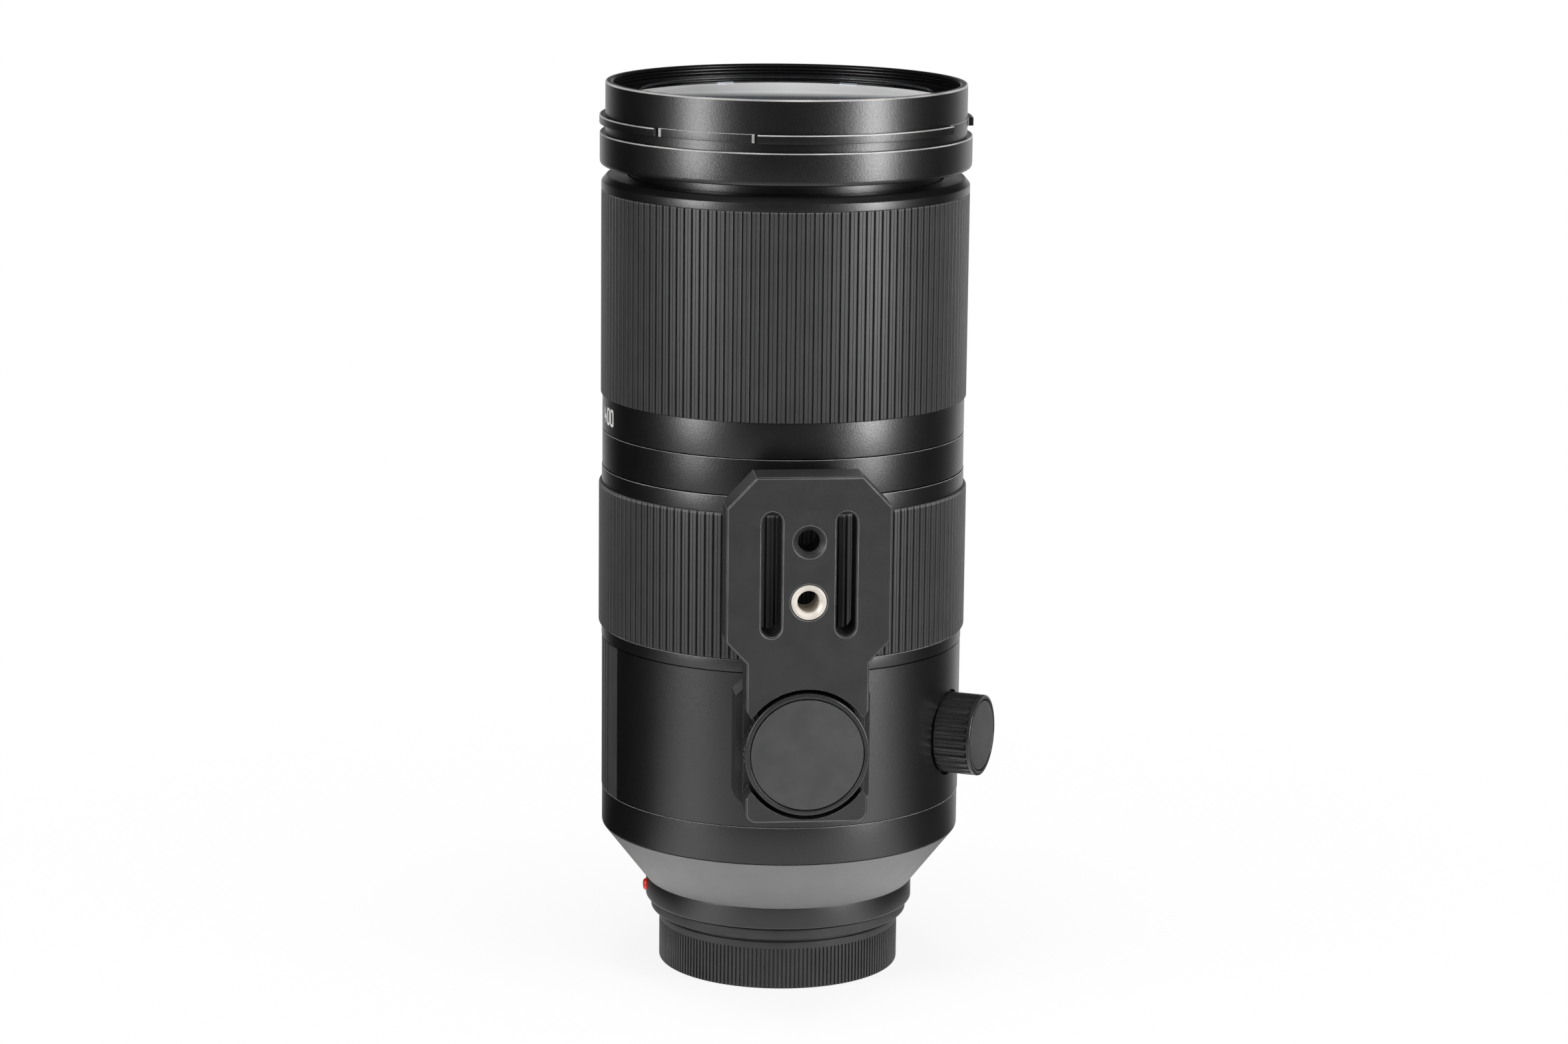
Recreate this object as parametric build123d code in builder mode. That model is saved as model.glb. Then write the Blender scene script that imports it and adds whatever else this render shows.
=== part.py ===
from build123d import *
from math import cos, pi, radians, sin
import os

# A zoom lens that stands on its rear cap. +Z is the optical axis towards the front glass, the
# origin is the centre of the cap's resting face, and the tripod foot points along -Y.
# Lengths are in millimetres. Angles round the barrel count from the foot towards +X.

# Lengths along the optical axis, from the cap upwards
cap_depth = 15.4
mount_ring_length = 5.4
cone_length = 14.0
rear_ring_length = 9.0
collar_length = 36.8
spacer_length = 3.1
focus_rubber_length = 34.6
focus_lip_length = 4.2
index_length = 8.6
number_band_length = 8.6
zoom_rubber_length = 48.7
zoom_lip_length = 3.4
neck_gap = 2.4
hood_ring_length = 19.7

# Walls and gaps of the nested tubes, from the front glass outwards
glass_radius = 35.2
glass_gap = 0.1
front_tube_wall = 1.8
cam_wall = 1.5
guide_wall = 1.7
sleeve_wall = 2.0
running_gap = 0.3
seat_gap = 0.05
joint_line = 0.2
edge_break = 0.4
overrun = 5.0

# Zoom mechanism: the front barrel and the zoom group climb straight helical slots
zoom_turn = 100.0
front_travel = 64.0
variator_travel = 20.0
roller_radius = 2.2
roller_count = 3
roller_angle = 60.0
slot_end_wall = 3.0

# Mount
mount_ring_radius = 32.3
flange_radius = 30.7
flange_thickness = 2.0
flange_stand = 0.3
mount_throat = 22.4
mount_tube_wall = 1.8
mount_tube_length = 5.4
lug_reach = 1.4
lug_thickness = 1.8
lug_count = 4
lug_sweep = 48.0
flange_screw_count = 6
flange_screw_radius = 1.0
flange_screw_head = 1.8
flange_screw_length = 4.6

# Barrel diameters that the nested tubes do not give
cone_wall = 1.8
hood_ring_radius = 44.0
hood_collar_radius = 42.7
filter_radius = 40.9
rubber_stand = 1.1
zoom_rubber_stand = 0.4
rib_count = 132
rib_groove_width = 0.42
rib_groove_depth = 0.55
rib_bevel_share = 0.7
lip_stand = 0.1

# Tripod collar and its foot
collar_wall = 4.9
boss_half_width = 15.6
boss_base = 51.0
boss_height = 28.4
boss_corner = 2.2
foot_stand = 5.8
foot_thickness = 10.0
foot_head_half_width = 18.9
foot_tip_half_width = 12.2
foot_neck_half_width = 14.05
foot_base = 49.4
foot_neck_length = 37.5
foot_shoulder_length = 5.2
foot_head_length = 31.0
foot_tip_length = 7.1
foot_corner = 2.6
foot_bevel = 0.35
foot_slot_width = 4.6
foot_slot_length = 29.0
foot_slot_spacing = 17.1
foot_slot_drop = 22.6
thread_radius = 2.6
thread_mouth = 3.9
thread_drop = 15.0
bush_drop = 29.0
bush_radius = 4.05
bush_mouth = 0.7

# Foot clamp knob
clamp_rise = 16.1
clamp_recess_radius = 15.4
clamp_recess_depth = 7.0
clamp_knob_radius = 14.4
clamp_knob_proud = 0.5
clamp_notch_length = 2.6
clamp_inlay_radius = 13.2
inlay_thickness = 0.9
clamp_screw_radius = 3.0
clamp_thread_length = 6.0
clamp_knurl_count = 60
clamp_knurl_depth = 0.45

# Collar lock knob
lock_angle = 63.0
lock_height = 60.3
lock_knob_radius = 9.7
lock_knob_length = 9.2
lock_face_drop = 1.1
lock_flute_count = 24
lock_flute_radius = 0.95
lock_screw_radius = 2.5
lock_feed = 0.25
shoe_length = 1.6

# Ribbed grip round the back of the collar
grip_start = 76.0
grip_end = 290.0
grip_thickness = 0.9
grip_margin = 4.0
grip_rib_pitch = 2.6
grip_groove_width = 0.7
grip_groove_depth = 0.45

# Rear cap
cap_radius = 29.0
cap_rim_radius = 31.0
cap_rim_length = 2.4
cap_knurl_length = 9.6
cap_lip_length = 1.6
cap_neck_depth = 0.6
cap_floor = 2.0
cap_wall = 1.5
cap_tab_sweep = 36.0
cap_tab_gap = 0.3
cap_knurl_count = 180
cap_knurl_width = 0.45
cap_knurl_depth = 0.35

# Heights that follow from the lengths
flange_height = cap_depth
mount_ring_base = flange_height + flange_stand
mount_ring_top = flange_height + mount_ring_length
cone_top = mount_ring_top + cone_length
rear_ring_top = cone_top + rear_ring_length
collar_top = rear_ring_top + collar_length
spacer_top = collar_top + spacer_length
focus_rubber_top = spacer_top + focus_rubber_length
focus_lip_top = focus_rubber_top + focus_lip_length
index_top = focus_lip_top + index_length
number_band_top = index_top + number_band_length
zoom_rubber_top = number_band_top + zoom_rubber_length
zoom_lip_top = zoom_rubber_top + zoom_lip_length
hood_base = zoom_lip_top + neck_gap
rim_height = hood_base + hood_ring_length

# Radii that follow from the walls
front_tube_inner = glass_radius + glass_gap
front_tube_outer = front_tube_inner + front_tube_wall
cam_inner = front_tube_outer + running_gap
cam_outer = cam_inner + cam_wall
guide_inner = cam_outer + running_gap
guide_outer = guide_inner + guide_wall
sleeve_inner = guide_outer + running_gap
barrel_radius = sleeve_inner + sleeve_wall
collar_inner = barrel_radius - collar_wall
neck_outer = collar_inner - running_gap
neck_inner = neck_outer - guide_wall
slot_half_width = roller_radius + running_gap

os.makedirs("parts", exist_ok=True)


def facing(angle, distance, height):
    """A plane that faces outwards from the barrel, with its y axis up the optical axis."""
    turn = radians(angle)
    outwards = Vector(sin(turn), -cos(turn), 0)
    sideways = Vector(cos(turn), sin(turn), 0)
    spot = Vector(outwards.X * distance, outwards.Y * distance, height)
    return Plane(origin=spot, x_dir=sideways, z_dir=outwards)


def turned(*points):
    """Turn a closed half profile of (radius, height) points about the optical axis."""
    with BuildSketch(Plane.XZ) as profile:
        with BuildLine():
            Polyline(*points, close=True)
        make_face()
    revolve(profile.sketch, axis=Axis.Z)


def sector(inner, outer, start, sweep, base, height, mode=Mode.ADD):
    """Raise a piece of a ring between two angles that are counted from the foot."""
    with BuildSketch(Plane.XY.offset(base)) as outline:
        with BuildLine():
            outside = CenterArc((0, 0), outer, start - 90, sweep)
            inside = CenterArc((0, 0), inner, start - 90, sweep)
            Line(outside @ 0, inside @ 0)
            Line(outside @ 1, inside @ 1)
        make_face()
    extrude(outline.sketch, amount=height, mode=mode)


def glass(radius, base, edge, rear_sag, front_sag):
    """Turn a lens element: base is its rear edge height, and a positive sag is a convex face."""
    with BuildSketch(Plane.XZ) as section:
        with BuildLine():
            rear = TangentArc((0, base - rear_sag), (radius, base), tangent=(1, 0))
            front = TangentArc((0, base + edge + front_sag), (radius, base + edge), tangent=(1, 0))
            Line(rear @ 1, front @ 1)
            Line(rear @ 0, front @ 0)
        make_face()
    revolve(section.sketch, axis=Axis.Z)


def ribbed_ring(inner, outer, base, height, count, width, depth):
    """Raise a ring with upright grooves all round and a bevel at both ends of its ribs."""
    rib_bevel = depth * rib_bevel_share
    with BuildSketch(Plane.XY.offset(base)) as outline:
        Circle(outer)
        with PolarLocations(outer, count):
            Rectangle(2 * depth, width, mode=Mode.SUBTRACT)
        Circle(inner, mode=Mode.SUBTRACT)
    extrude(outline.sketch, amount=height)
    with BuildSketch(Plane.XZ) as bevel:
        for level, rise in ((base, rib_bevel), (base + height, -rib_bevel)):
            with BuildLine():
                Polyline(
                    (outer - rib_bevel, level),
                    (outer + rib_bevel, level),
                    (outer + rib_bevel, level + 2 * rise),
                    close=True,
                )
            make_face()
    revolve(bevel.sketch, axis=Axis.Z, mode=Mode.SUBTRACT)


# Rear cap, with four inner tabs that hook over the lugs of the mount
mount_tube_outer = mount_throat + mount_tube_wall
lug_radius = mount_tube_outer + lug_reach
lug_top = flange_height - mount_tube_length + lug_thickness
cap_top = cap_depth - joint_line
cap_bore = cap_radius - cap_wall
cap_knurl_top = edge_break + cap_knurl_length
cap_lip_top = cap_knurl_top + cap_lip_length
cap_rim_base = cap_top - cap_rim_length
cap_neck = cap_radius - cap_neck_depth
with BuildPart() as rear_cap:
    turned(
        (0, 0),
        (cap_radius - edge_break, 0),
        (cap_radius, edge_break),
        (cap_bore, edge_break),
        (cap_bore, cap_floor),
        (0, cap_floor),
    )
    ribbed_ring(
        cap_bore,
        cap_radius,
        edge_break,
        cap_knurl_length,
        cap_knurl_count,
        cap_knurl_width,
        cap_knurl_depth,
    )
    turned(
        (cap_bore, cap_knurl_top),
        (cap_radius, cap_knurl_top),
        (cap_radius, cap_lip_top),
        (cap_neck, cap_lip_top),
        (cap_neck, cap_rim_base),
        (cap_rim_radius - edge_break, cap_rim_base),
        (cap_rim_radius, cap_rim_base + edge_break),
        (cap_rim_radius, cap_top - edge_break),
        (cap_rim_radius - edge_break, cap_top),
        (cap_bore, cap_top),
    )
    for step in range(lug_count):
        sector(
            mount_tube_outer + cap_tab_gap,
            cap_bore + seat_gap,
            step * 360 / lug_count - cap_tab_sweep / 2,
            cap_tab_sweep,
            lug_top + cap_tab_gap,
            lug_thickness,
        )
rear_cap.part.label = "rear_cap"
export_step(rear_cap.part, "parts/rear_cap.step")

# Bayonet flange: a seating ring, a short tube and four lugs
flange_screw_circle = (mount_tube_outer + flange_radius) / 2
with BuildPart() as bayonet_flange:
    turned(
        (mount_throat, flange_height - mount_tube_length),
        (mount_tube_outer, flange_height - mount_tube_length),
        (mount_tube_outer, flange_height),
        (flange_radius, flange_height),
        (flange_radius, flange_height + flange_thickness),
        (mount_throat, flange_height + flange_thickness),
    )
    for step in range(lug_count):
        sector(
            mount_tube_outer - seat_gap,
            lug_radius,
            step * 360 / lug_count - lug_sweep / 2,
            lug_sweep,
            flange_height - mount_tube_length,
            lug_thickness,
        )
    with Locations(Plane((0, 0, flange_height), z_dir=(0, 0, -1))):
        with PolarLocations(flange_screw_circle, flange_screw_count):
            CounterSinkHole(flange_screw_radius + seat_gap, flange_screw_head + seat_gap)
bayonet_flange.part.label = "bayonet_flange"
export_step(bayonet_flange.part, "parts/bayonet_flange.step")

# Screws of the flange, with countersunk heads flush with its face
screw_cone = flange_screw_head - flange_screw_radius
with BuildPart() as flange_screws:
    with PolarLocations(flange_screw_circle, flange_screw_count):
        with Locations((0, 0, flange_height)):
            Cone(
                flange_screw_head,
                flange_screw_radius,
                screw_cone,
                align=(Align.CENTER, Align.CENTER, Align.MIN),
            )
        with Locations((0, 0, flange_height + screw_cone)):
            Cylinder(
                flange_screw_radius,
                flange_screw_length - screw_cone,
                align=(Align.CENTER, Align.CENTER, Align.MIN),
            )
flange_screws.part.label = "flange_screws"
export_step(flange_screws.part, "parts/flange_screws.step")

# Mount ring, which takes the flange in a recess and the index dome in its side
index_dot_angle = 270.0
index_dot_height = (mount_ring_base + mount_ring_top) / 2
index_dot_radius = 1.5
index_dot_depth = 1.0
index_dot_stand = 0.8
index_dot_seat = mount_ring_radius - index_dot_depth
with BuildPart() as mount_ring:
    turned(
        (flange_radius + seat_gap, mount_ring_base),
        (mount_ring_radius - edge_break, mount_ring_base),
        (mount_ring_radius, mount_ring_base + edge_break),
        (mount_ring_radius, mount_ring_top - joint_line),
        (mount_ring_radius - edge_break, mount_ring_top),
        (mount_tube_outer + seat_gap, mount_ring_top),
        (mount_tube_outer + seat_gap, flange_height + flange_thickness),
        (flange_radius + seat_gap, flange_height + flange_thickness),
    )
    with Locations((0, 0, mount_ring_top)):
        with PolarLocations(flange_screw_circle, flange_screw_count):
            Hole(flange_screw_radius + seat_gap)
    with BuildSketch(facing(index_dot_angle, index_dot_seat, index_dot_height)) as pocket:
        Circle(index_dot_radius + seat_gap)
    extrude(pocket.sketch, amount=overrun, mode=Mode.SUBTRACT)
mount_ring.part.label = "mount_ring"
export_step(mount_ring.part, "parts/mount_ring.step")

# Red index dome, seated in the side of the mount ring
with BuildPart() as index_dot:
    with Locations(facing(index_dot_angle, index_dot_seat, index_dot_height)):
        Cylinder(
            index_dot_radius,
            index_dot_depth + index_dot_stand,
            align=(Align.CENTER, Align.CENTER, Align.MIN),
        )
    dome_edges = index_dot.edges().group_by(Axis.X)[0]
    fillet(dome_edges, index_dot_stand)
index_dot.part.label = "index_dot"
export_step(index_dot.part, "parts/index_dot.step")

# Moulded light baffle behind the mount, and the contact block that it carries
baffle_wall = 1.4
baffle_base = 11.0
baffle_plate = 1.2
baffle_window_width = 28.0
baffle_window_height = 19.0
baffle_top = flange_height + flange_thickness - baffle_plate
baffle_outer = mount_throat - seat_gap
baffle_inner = baffle_outer - baffle_wall
with BuildPart() as rear_baffle:
    turned(
        (baffle_inner, baffle_base),
        (baffle_outer, baffle_base),
        (baffle_outer, baffle_top + baffle_plate),
        (0, baffle_top + baffle_plate),
        (0, baffle_top),
        (baffle_inner, baffle_top),
    )
    with BuildSketch(Plane.XY.offset(baffle_top)) as window:
        RectangleRounded(baffle_window_width, baffle_window_height, baffle_wall)
    extrude(window.sketch, amount=baffle_plate, mode=Mode.SUBTRACT)
rear_baffle.part.label = "rear_baffle"
export_step(rear_baffle.part, "parts/rear_baffle.step")

contact_count = 10
contact_pitch = 7.0
contact_radius = 0.6
contact_stand = 0.5
contact_block_depth = 3.4
contact_block_drop = 0.6
contact_block_margin = 4.0
contact_outer = baffle_inner - seat_gap
contact_inner = contact_outer - contact_block_depth
contact_circle = (contact_outer + contact_inner) / 2
contact_base = baffle_base - contact_block_drop
contact_sweep = (contact_count - 1) * contact_pitch
contact_angles = [180 - contact_sweep / 2 + step * contact_pitch for step in range(contact_count)]
with BuildPart() as contact_block:
    sector(
        contact_inner,
        contact_outer,
        contact_angles[0] - contact_block_margin,
        contact_sweep + 2 * contact_block_margin,
        contact_base,
        baffle_top - contact_base,
    )
    for angle in contact_angles:
        spot = facing(angle, contact_circle, contact_base).origin
        with Locations(spot):
            Cylinder(contact_radius + seat_gap, contact_block_depth, mode=Mode.SUBTRACT)
contact_block.part.label = "contact_block"
export_step(contact_block.part, "parts/contact_block.step")

contact_pin_length = contact_stand + contact_block_depth / 2
with BuildPart() as contact_pins:
    for angle in contact_angles:
        spot = facing(angle, contact_circle, contact_base - contact_stand).origin
        with Locations(spot):
            Cylinder(
                contact_radius,
                contact_pin_length,
                align=(Align.CENTER, Align.CENTER, Align.MIN),
            )
contact_pins.part.label = "contact_pins"
export_step(contact_pins.part, "parts/contact_pins.step")

# Conical rear shell, whose spigot centres the guide tube
spigot_length = 4.0
spigot_wall = 1.5
spigot_outer = neck_inner - seat_gap
spigot_inner = spigot_outer - spigot_wall
cone_bore = mount_tube_outer + seat_gap
cone_floor = mount_ring_top + cone_wall
cone_flare = barrel_radius - lip_stand - mount_ring_radius
with BuildPart() as rear_cone:
    turned(
        (cone_bore, mount_ring_top),
        (mount_ring_radius, mount_ring_top),
        (mount_ring_radius + cone_flare, cone_top - joint_line),
        (spigot_outer, cone_top - joint_line),
        (spigot_outer, cone_top + spigot_length),
        (spigot_inner, cone_top + spigot_length),
        (spigot_inner, cone_top - cone_wall),
        (mount_ring_radius - cone_wall, cone_floor),
        (cone_bore, cone_floor),
    )
rear_cone.part.label = "rear_cone"
export_step(rear_cone.part, "parts/rear_cone.step")

# Cylindrical ring in front of the cone, with a web that holds it on the guide tube
with BuildPart() as rear_ring:
    turned(
        (barrel_radius - lip_stand - cone_wall, cone_top),
        (barrel_radius - lip_stand, cone_top),
        (barrel_radius - lip_stand, rear_ring_top - joint_line),
        (neck_outer + seat_gap, rear_ring_top - joint_line),
        (neck_outer + seat_gap, rear_ring_top - cone_wall),
        (barrel_radius - lip_stand - cone_wall, rear_ring_top - cone_wall),
    )
rear_ring.part.label = "rear_ring"
export_step(rear_ring.part, "parts/rear_ring.step")

# Heights of the zoom mechanism, counted down from the mouth of the guide tube
lip_cover = 1.2
guide_top = zoom_lip_top - lip_cover - running_gap
front_slot_top = guide_top - slot_end_wall - slot_half_width
front_roller_height = front_slot_top - front_travel
variator_slot_top = front_roller_height - 2 * slot_half_width - slot_end_wall
variator_roller_height = variator_slot_top - variator_travel
cam_base = variator_roller_height - slot_half_width - slot_end_wall
cam_top = front_slot_top + slot_half_width + slot_end_wall / 2
roller_angles = [roller_angle + step * 360 / roller_count for step in range(roller_count)]

# Drive key: joins the zoom ring to the cam barrel through a slot in the guide tube
key_half_width = 2.0
key_half_height = 2.0
key_rise = 3.8
key_lead = 11.0
key_seat = 0.8
key_height = index_top + key_rise
key_angle = roller_angle - key_lead
key_margin = (key_half_width + running_gap) / guide_inner * 180 / pi

# Window of the focus sensor, at the height of the code ring
code_rise = 14.0
code_length = 6.0
code_base = spacer_top + code_rise
sensor_angle = 110.0
sensor_sweep = 18.0
sensor_height = 5.0
sensor_base = code_base + (code_length - sensor_height) / 2
sensor_seam = seat_gap / guide_inner * 180 / pi

# Guide tube: a narrow neck under the collar and a wide barrel with straight slots
with BuildPart() as guide_tube:
    turned(
        (neck_inner, cone_top),
        (neck_outer, cone_top),
        (neck_outer, spacer_top),
        (guide_outer, spacer_top),
        (guide_outer, guide_top),
        (guide_inner, guide_top),
        (guide_inner, spacer_top + guide_wall),
        (neck_inner, spacer_top + guide_wall),
    )
    for angle in roller_angles:
        for base, travel in (
            (variator_roller_height, variator_travel),
            (front_roller_height, front_travel),
        ):
            with BuildSketch(facing(angle, cam_inner, base + travel / 2)) as slot:
                SlotCenterToCenter(travel, 2 * slot_half_width, rotation=90)
            extrude(slot.sketch, amount=overrun, mode=Mode.SUBTRACT)
    sector(
        guide_inner - running_gap,
        guide_outer + running_gap,
        key_angle - zoom_turn - key_margin,
        zoom_turn + 2 * key_margin,
        key_height - key_half_height - running_gap,
        2 * key_half_height + 2 * running_gap,
        mode=Mode.SUBTRACT,
    )
    sector(
        guide_inner - running_gap,
        guide_outer + running_gap,
        sensor_angle,
        sensor_sweep,
        sensor_base,
        sensor_height,
        mode=Mode.SUBTRACT,
    )
guide_tube.part.label = "guide_tube"
export_step(guide_tube.part, "parts/guide_tube.step")

# Focus sensor, let into the wall of the guide tube where it faces the code ring
with BuildPart() as focus_sensor:
    sector(
        guide_inner + seat_gap,
        guide_outer - seat_gap,
        sensor_angle + sensor_seam,
        sensor_sweep - 2 * sensor_seam,
        sensor_base + seat_gap,
        sensor_height - 2 * seat_gap,
    )
focus_sensor.part.label = "focus_sensor"
export_step(focus_sensor.part, "parts/focus_sensor.step")

# Fixed bands between the turning rings
with BuildPart() as spacer_ring:
    turned(
        (neck_outer + seat_gap, collar_top + joint_line),
        (barrel_radius + lip_stand, collar_top + joint_line),
        (barrel_radius + lip_stand, spacer_top),
        (neck_outer + seat_gap, spacer_top),
    )
spacer_ring.part.label = "spacer_ring"
export_step(spacer_ring.part, "parts/spacer_ring.step")

with BuildPart() as index_ring:
    turned(
        (guide_outer + seat_gap, focus_lip_top),
        (barrel_radius, focus_lip_top),
        (barrel_radius, index_top),
        (guide_outer + seat_gap, index_top),
    )
index_ring.part.label = "index_ring"
export_step(index_ring.part, "parts/index_ring.step")

# Felt seal at the mouth of the guide tube
with BuildPart() as front_seal:
    turned(
        (front_tube_outer + running_gap, cam_top + running_gap),
        (guide_inner - seat_gap, cam_top + running_gap),
        (guide_inner - seat_gap, guide_top),
        (front_tube_outer + running_gap, guide_top),
    )
front_seal.part.label = "front_seal"
export_step(front_seal.part, "parts/front_seal.step")

# Ring-shaped circuit board on the cone's floor, with its chips
board_thickness = 1.4
board_outer = mount_ring_radius - cone_wall - joint_line
cell_radius = 20.4
cell_wall = 2.2
with BuildPart() as circuit_board:
    turned(
        (cone_bore, cone_floor),
        (board_outer, cone_floor),
        (board_outer, cone_floor + board_thickness),
        (cone_bore, cone_floor + board_thickness),
    )
circuit_board.part.label = "circuit_board"
export_step(circuit_board.part, "parts/circuit_board.step")

chip_count = 6
chip_size = 4.2
chip_thickness = 1.2
with BuildPart() as board_chips:
    with Locations((0, 0, cone_floor + board_thickness)):
        with PolarLocations((cone_bore + board_outer) / 2, chip_count):
            Box(chip_size, chip_size, chip_thickness, align=(Align.CENTER, Align.CENTER, Align.MIN))
board_chips.part.label = "board_chips"
export_step(board_chips.part, "parts/board_chips.step")

# Rear cell, hung by its flange from the cone's spigot
cell_base = 18.4
cell_flange = 1.8
cell_lip = 1.2
cell_seat = cone_top + spigot_length
cell_top = cell_seat + cell_flange
cell_bore = cell_radius - cell_wall
rod_radius = 1.5
rod_circle = 26.0
rod_angles = (60.0, 240.0)
with BuildPart() as rear_cell:
    turned(
        (cell_bore - cell_lip, cell_base),
        (cell_radius, cell_base),
        (cell_radius, cell_seat),
        (spigot_outer, cell_seat),
        (spigot_outer, cell_top),
        (cell_bore, cell_top),
        (cell_bore, cell_base + cell_lip),
        (cell_bore - cell_lip, cell_base + cell_lip),
    )
    for angle in rod_angles:
        with Locations(facing(angle, rod_circle, cell_top).origin):
            Hole(rod_radius + seat_gap)
rear_cell.part.label = "rear_cell"
export_step(rear_cell.part, "parts/rear_cell.step")

rear_glass_edge = 4.0
rear_glass_sag = 1.0
with BuildPart() as rear_element:
    glass(
        cell_bore - seat_gap,
        cell_base + cell_lip + seat_gap,
        rear_glass_edge,
        -rear_glass_sag,
        2 * rear_glass_sag,
    )
rear_element.part.label = "rear_element"
export_step(rear_element.part, "parts/rear_element.step")

# Linear focus motor: two rods, the frame that holds their far ends, and the magnets
focus_travel = 12.0
carriage_height = 8.0
rod_spare = 5.4
rod_frame_thickness = 2.2
rod_length = carriage_height + focus_travel + rod_spare + rod_frame_thickness
rod_frame_bore = 22.0
rod_frame_base = cell_top + rod_length - rod_frame_thickness
with BuildPart() as focus_rods:
    for angle in rod_angles:
        with Locations(facing(angle, rod_circle, cell_seat).origin):
            Cylinder(
                rod_radius,
                cell_flange + rod_length,
                align=(Align.CENTER, Align.CENTER, Align.MIN),
            )
focus_rods.part.label = "focus_rods"
export_step(focus_rods.part, "parts/focus_rods.step")

with BuildPart() as rod_frame:
    turned(
        (rod_frame_bore, rod_frame_base),
        (neck_inner - seat_gap, rod_frame_base),
        (neck_inner - seat_gap, rod_frame_base + rod_frame_thickness),
        (rod_frame_bore, rod_frame_base + rod_frame_thickness),
    )
    for angle in rod_angles:
        with Locations(facing(angle, rod_circle, rod_frame_base + rod_frame_thickness).origin):
            Hole(rod_radius + seat_gap)
rod_frame.part.label = "rod_frame"
export_step(rod_frame.part, "parts/rod_frame.step")

motor_angles = (150.0, 330.0)
magnet_width = 8.0
magnet_thickness = 1.8
magnet_length = 22.0
coil_thickness = 2.4
coil_circle = 31.6
magnet_step = (coil_thickness + magnet_thickness) / 2 + running_gap
with BuildPart() as motor_magnets:
    for angle in motor_angles:
        for circle in (coil_circle - magnet_step, coil_circle + magnet_step):
            with BuildSketch(facing(angle, circle - magnet_thickness / 2, cell_top)) as side:
                Rectangle(magnet_width, magnet_length, align=(Align.CENTER, Align.MIN))
            extrude(side.sketch, amount=magnet_thickness)
motor_magnets.part.label = "motor_magnets"
export_step(motor_magnets.part, "parts/motor_magnets.step")

# Focus group: a carriage that slides on the rods, its lens and its two coils
carriage_base = cell_top + running_gap
carriage_radius = 21.6
carriage_wall = 2.0
carriage_arm = 2.4
carriage_boss = 3.0
carriage_bore = carriage_radius - carriage_wall
arm_offset = (magnet_width + carriage_arm) / 2 + running_gap
coil_width = 2 * arm_offset + carriage_arm
with BuildPart() as focus_carriage:
    turned(
        (carriage_bore - cell_lip, carriage_base),
        (carriage_radius, carriage_base),
        (carriage_radius, carriage_base + carriage_height),
        (carriage_bore, carriage_base + carriage_height),
        (carriage_bore, carriage_base + cell_lip),
        (carriage_bore - cell_lip, carriage_base + cell_lip),
    )
    for angle in rod_angles:
        with Locations(facing(angle, rod_circle, carriage_base).origin):
            Cylinder(
                carriage_boss,
                carriage_height,
                align=(Align.CENTER, Align.CENTER, Align.MIN),
            )
    for angle in rod_angles:
        with BuildSketch(facing(angle, carriage_radius - carriage_wall / 2, carriage_base)) as web:
            Rectangle(carriage_wall, carriage_height, align=(Align.CENTER, Align.MIN))
        extrude(web.sketch, amount=rod_circle - carriage_radius)
        with Locations(facing(angle, rod_circle, carriage_base + carriage_height).origin):
            Hole(rod_radius + seat_gap)
    for angle in motor_angles:
        with BuildSketch(facing(angle, carriage_radius - carriage_wall, carriage_base)) as arm:
            with Locations((-arm_offset, 0), (arm_offset, 0)):
                Rectangle(carriage_arm, cell_lip, align=(Align.CENTER, Align.MIN))
        extrude(arm.sketch, amount=coil_circle - carriage_radius + carriage_wall)
focus_carriage.part.label = "focus_carriage"
export_step(focus_carriage.part, "parts/focus_carriage.step")

focus_glass_edge = 3.0
focus_glass_sag = 1.2
with BuildPart() as focus_element:
    glass(
        carriage_bore - seat_gap,
        carriage_base + cell_lip + seat_gap,
        focus_glass_edge,
        -focus_glass_sag,
        focus_glass_sag,
    )
focus_element.part.label = "focus_element"
export_step(focus_element.part, "parts/focus_element.step")

coil_height = carriage_height - cell_lip
with BuildPart() as motor_coils:
    for angle in motor_angles:
        inner_face = facing(angle, coil_circle - coil_thickness / 2, carriage_base + cell_lip)
        with BuildSketch(inner_face) as side:
            Rectangle(coil_width, coil_height, align=(Align.CENTER, Align.MIN))
        extrude(side.sketch, amount=coil_thickness)
motor_coils.part.label = "motor_coils"
export_step(motor_coils.part, "parts/motor_coils.step")

# Zoom group: a frame on three rollers, two lens elements and the iris
variator_height = 11.0
variator_wall = 4.0
variator_lip = 1.5
variator_base = variator_roller_height - variator_height / 2
variator_outer = cam_inner - running_gap
variator_bore = variator_outer - variator_wall - 2 * variator_lip
pin_share = 0.6
roller_pin = roller_radius * pin_share
roller_reach = guide_outer - running_gap
with BuildPart() as variator_frame:
    turned(
        (variator_bore - variator_lip, variator_roller_height - variator_lip / 2),
        (variator_bore, variator_roller_height - variator_lip / 2),
        (variator_bore, variator_base),
        (variator_outer, variator_base),
        (variator_outer, variator_base + variator_height),
        (variator_bore, variator_base + variator_height),
        (variator_bore, variator_roller_height + variator_lip / 2),
        (variator_bore - variator_lip, variator_roller_height + variator_lip / 2),
    )
    for angle in roller_angles:
        with Locations(facing(angle, variator_outer, variator_roller_height)):
            Hole(roller_pin + seat_gap, depth=variator_wall)
variator_frame.part.label = "variator_frame"
export_step(variator_frame.part, "parts/variator_frame.step")


def rollers(seat, depth, height):
    """Add the rollers that stand on a tube, each with a pin in the tube's wall."""
    for angle in roller_angles:
        with BuildSketch(facing(angle, seat - depth, height)) as pin:
            Circle(roller_pin)
        extrude(pin.sketch, amount=depth + seat_gap)
        with BuildSketch(facing(angle, seat + seat_gap, height)) as head:
            Circle(roller_radius)
        extrude(head.sketch, amount=roller_reach - seat - seat_gap)


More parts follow.
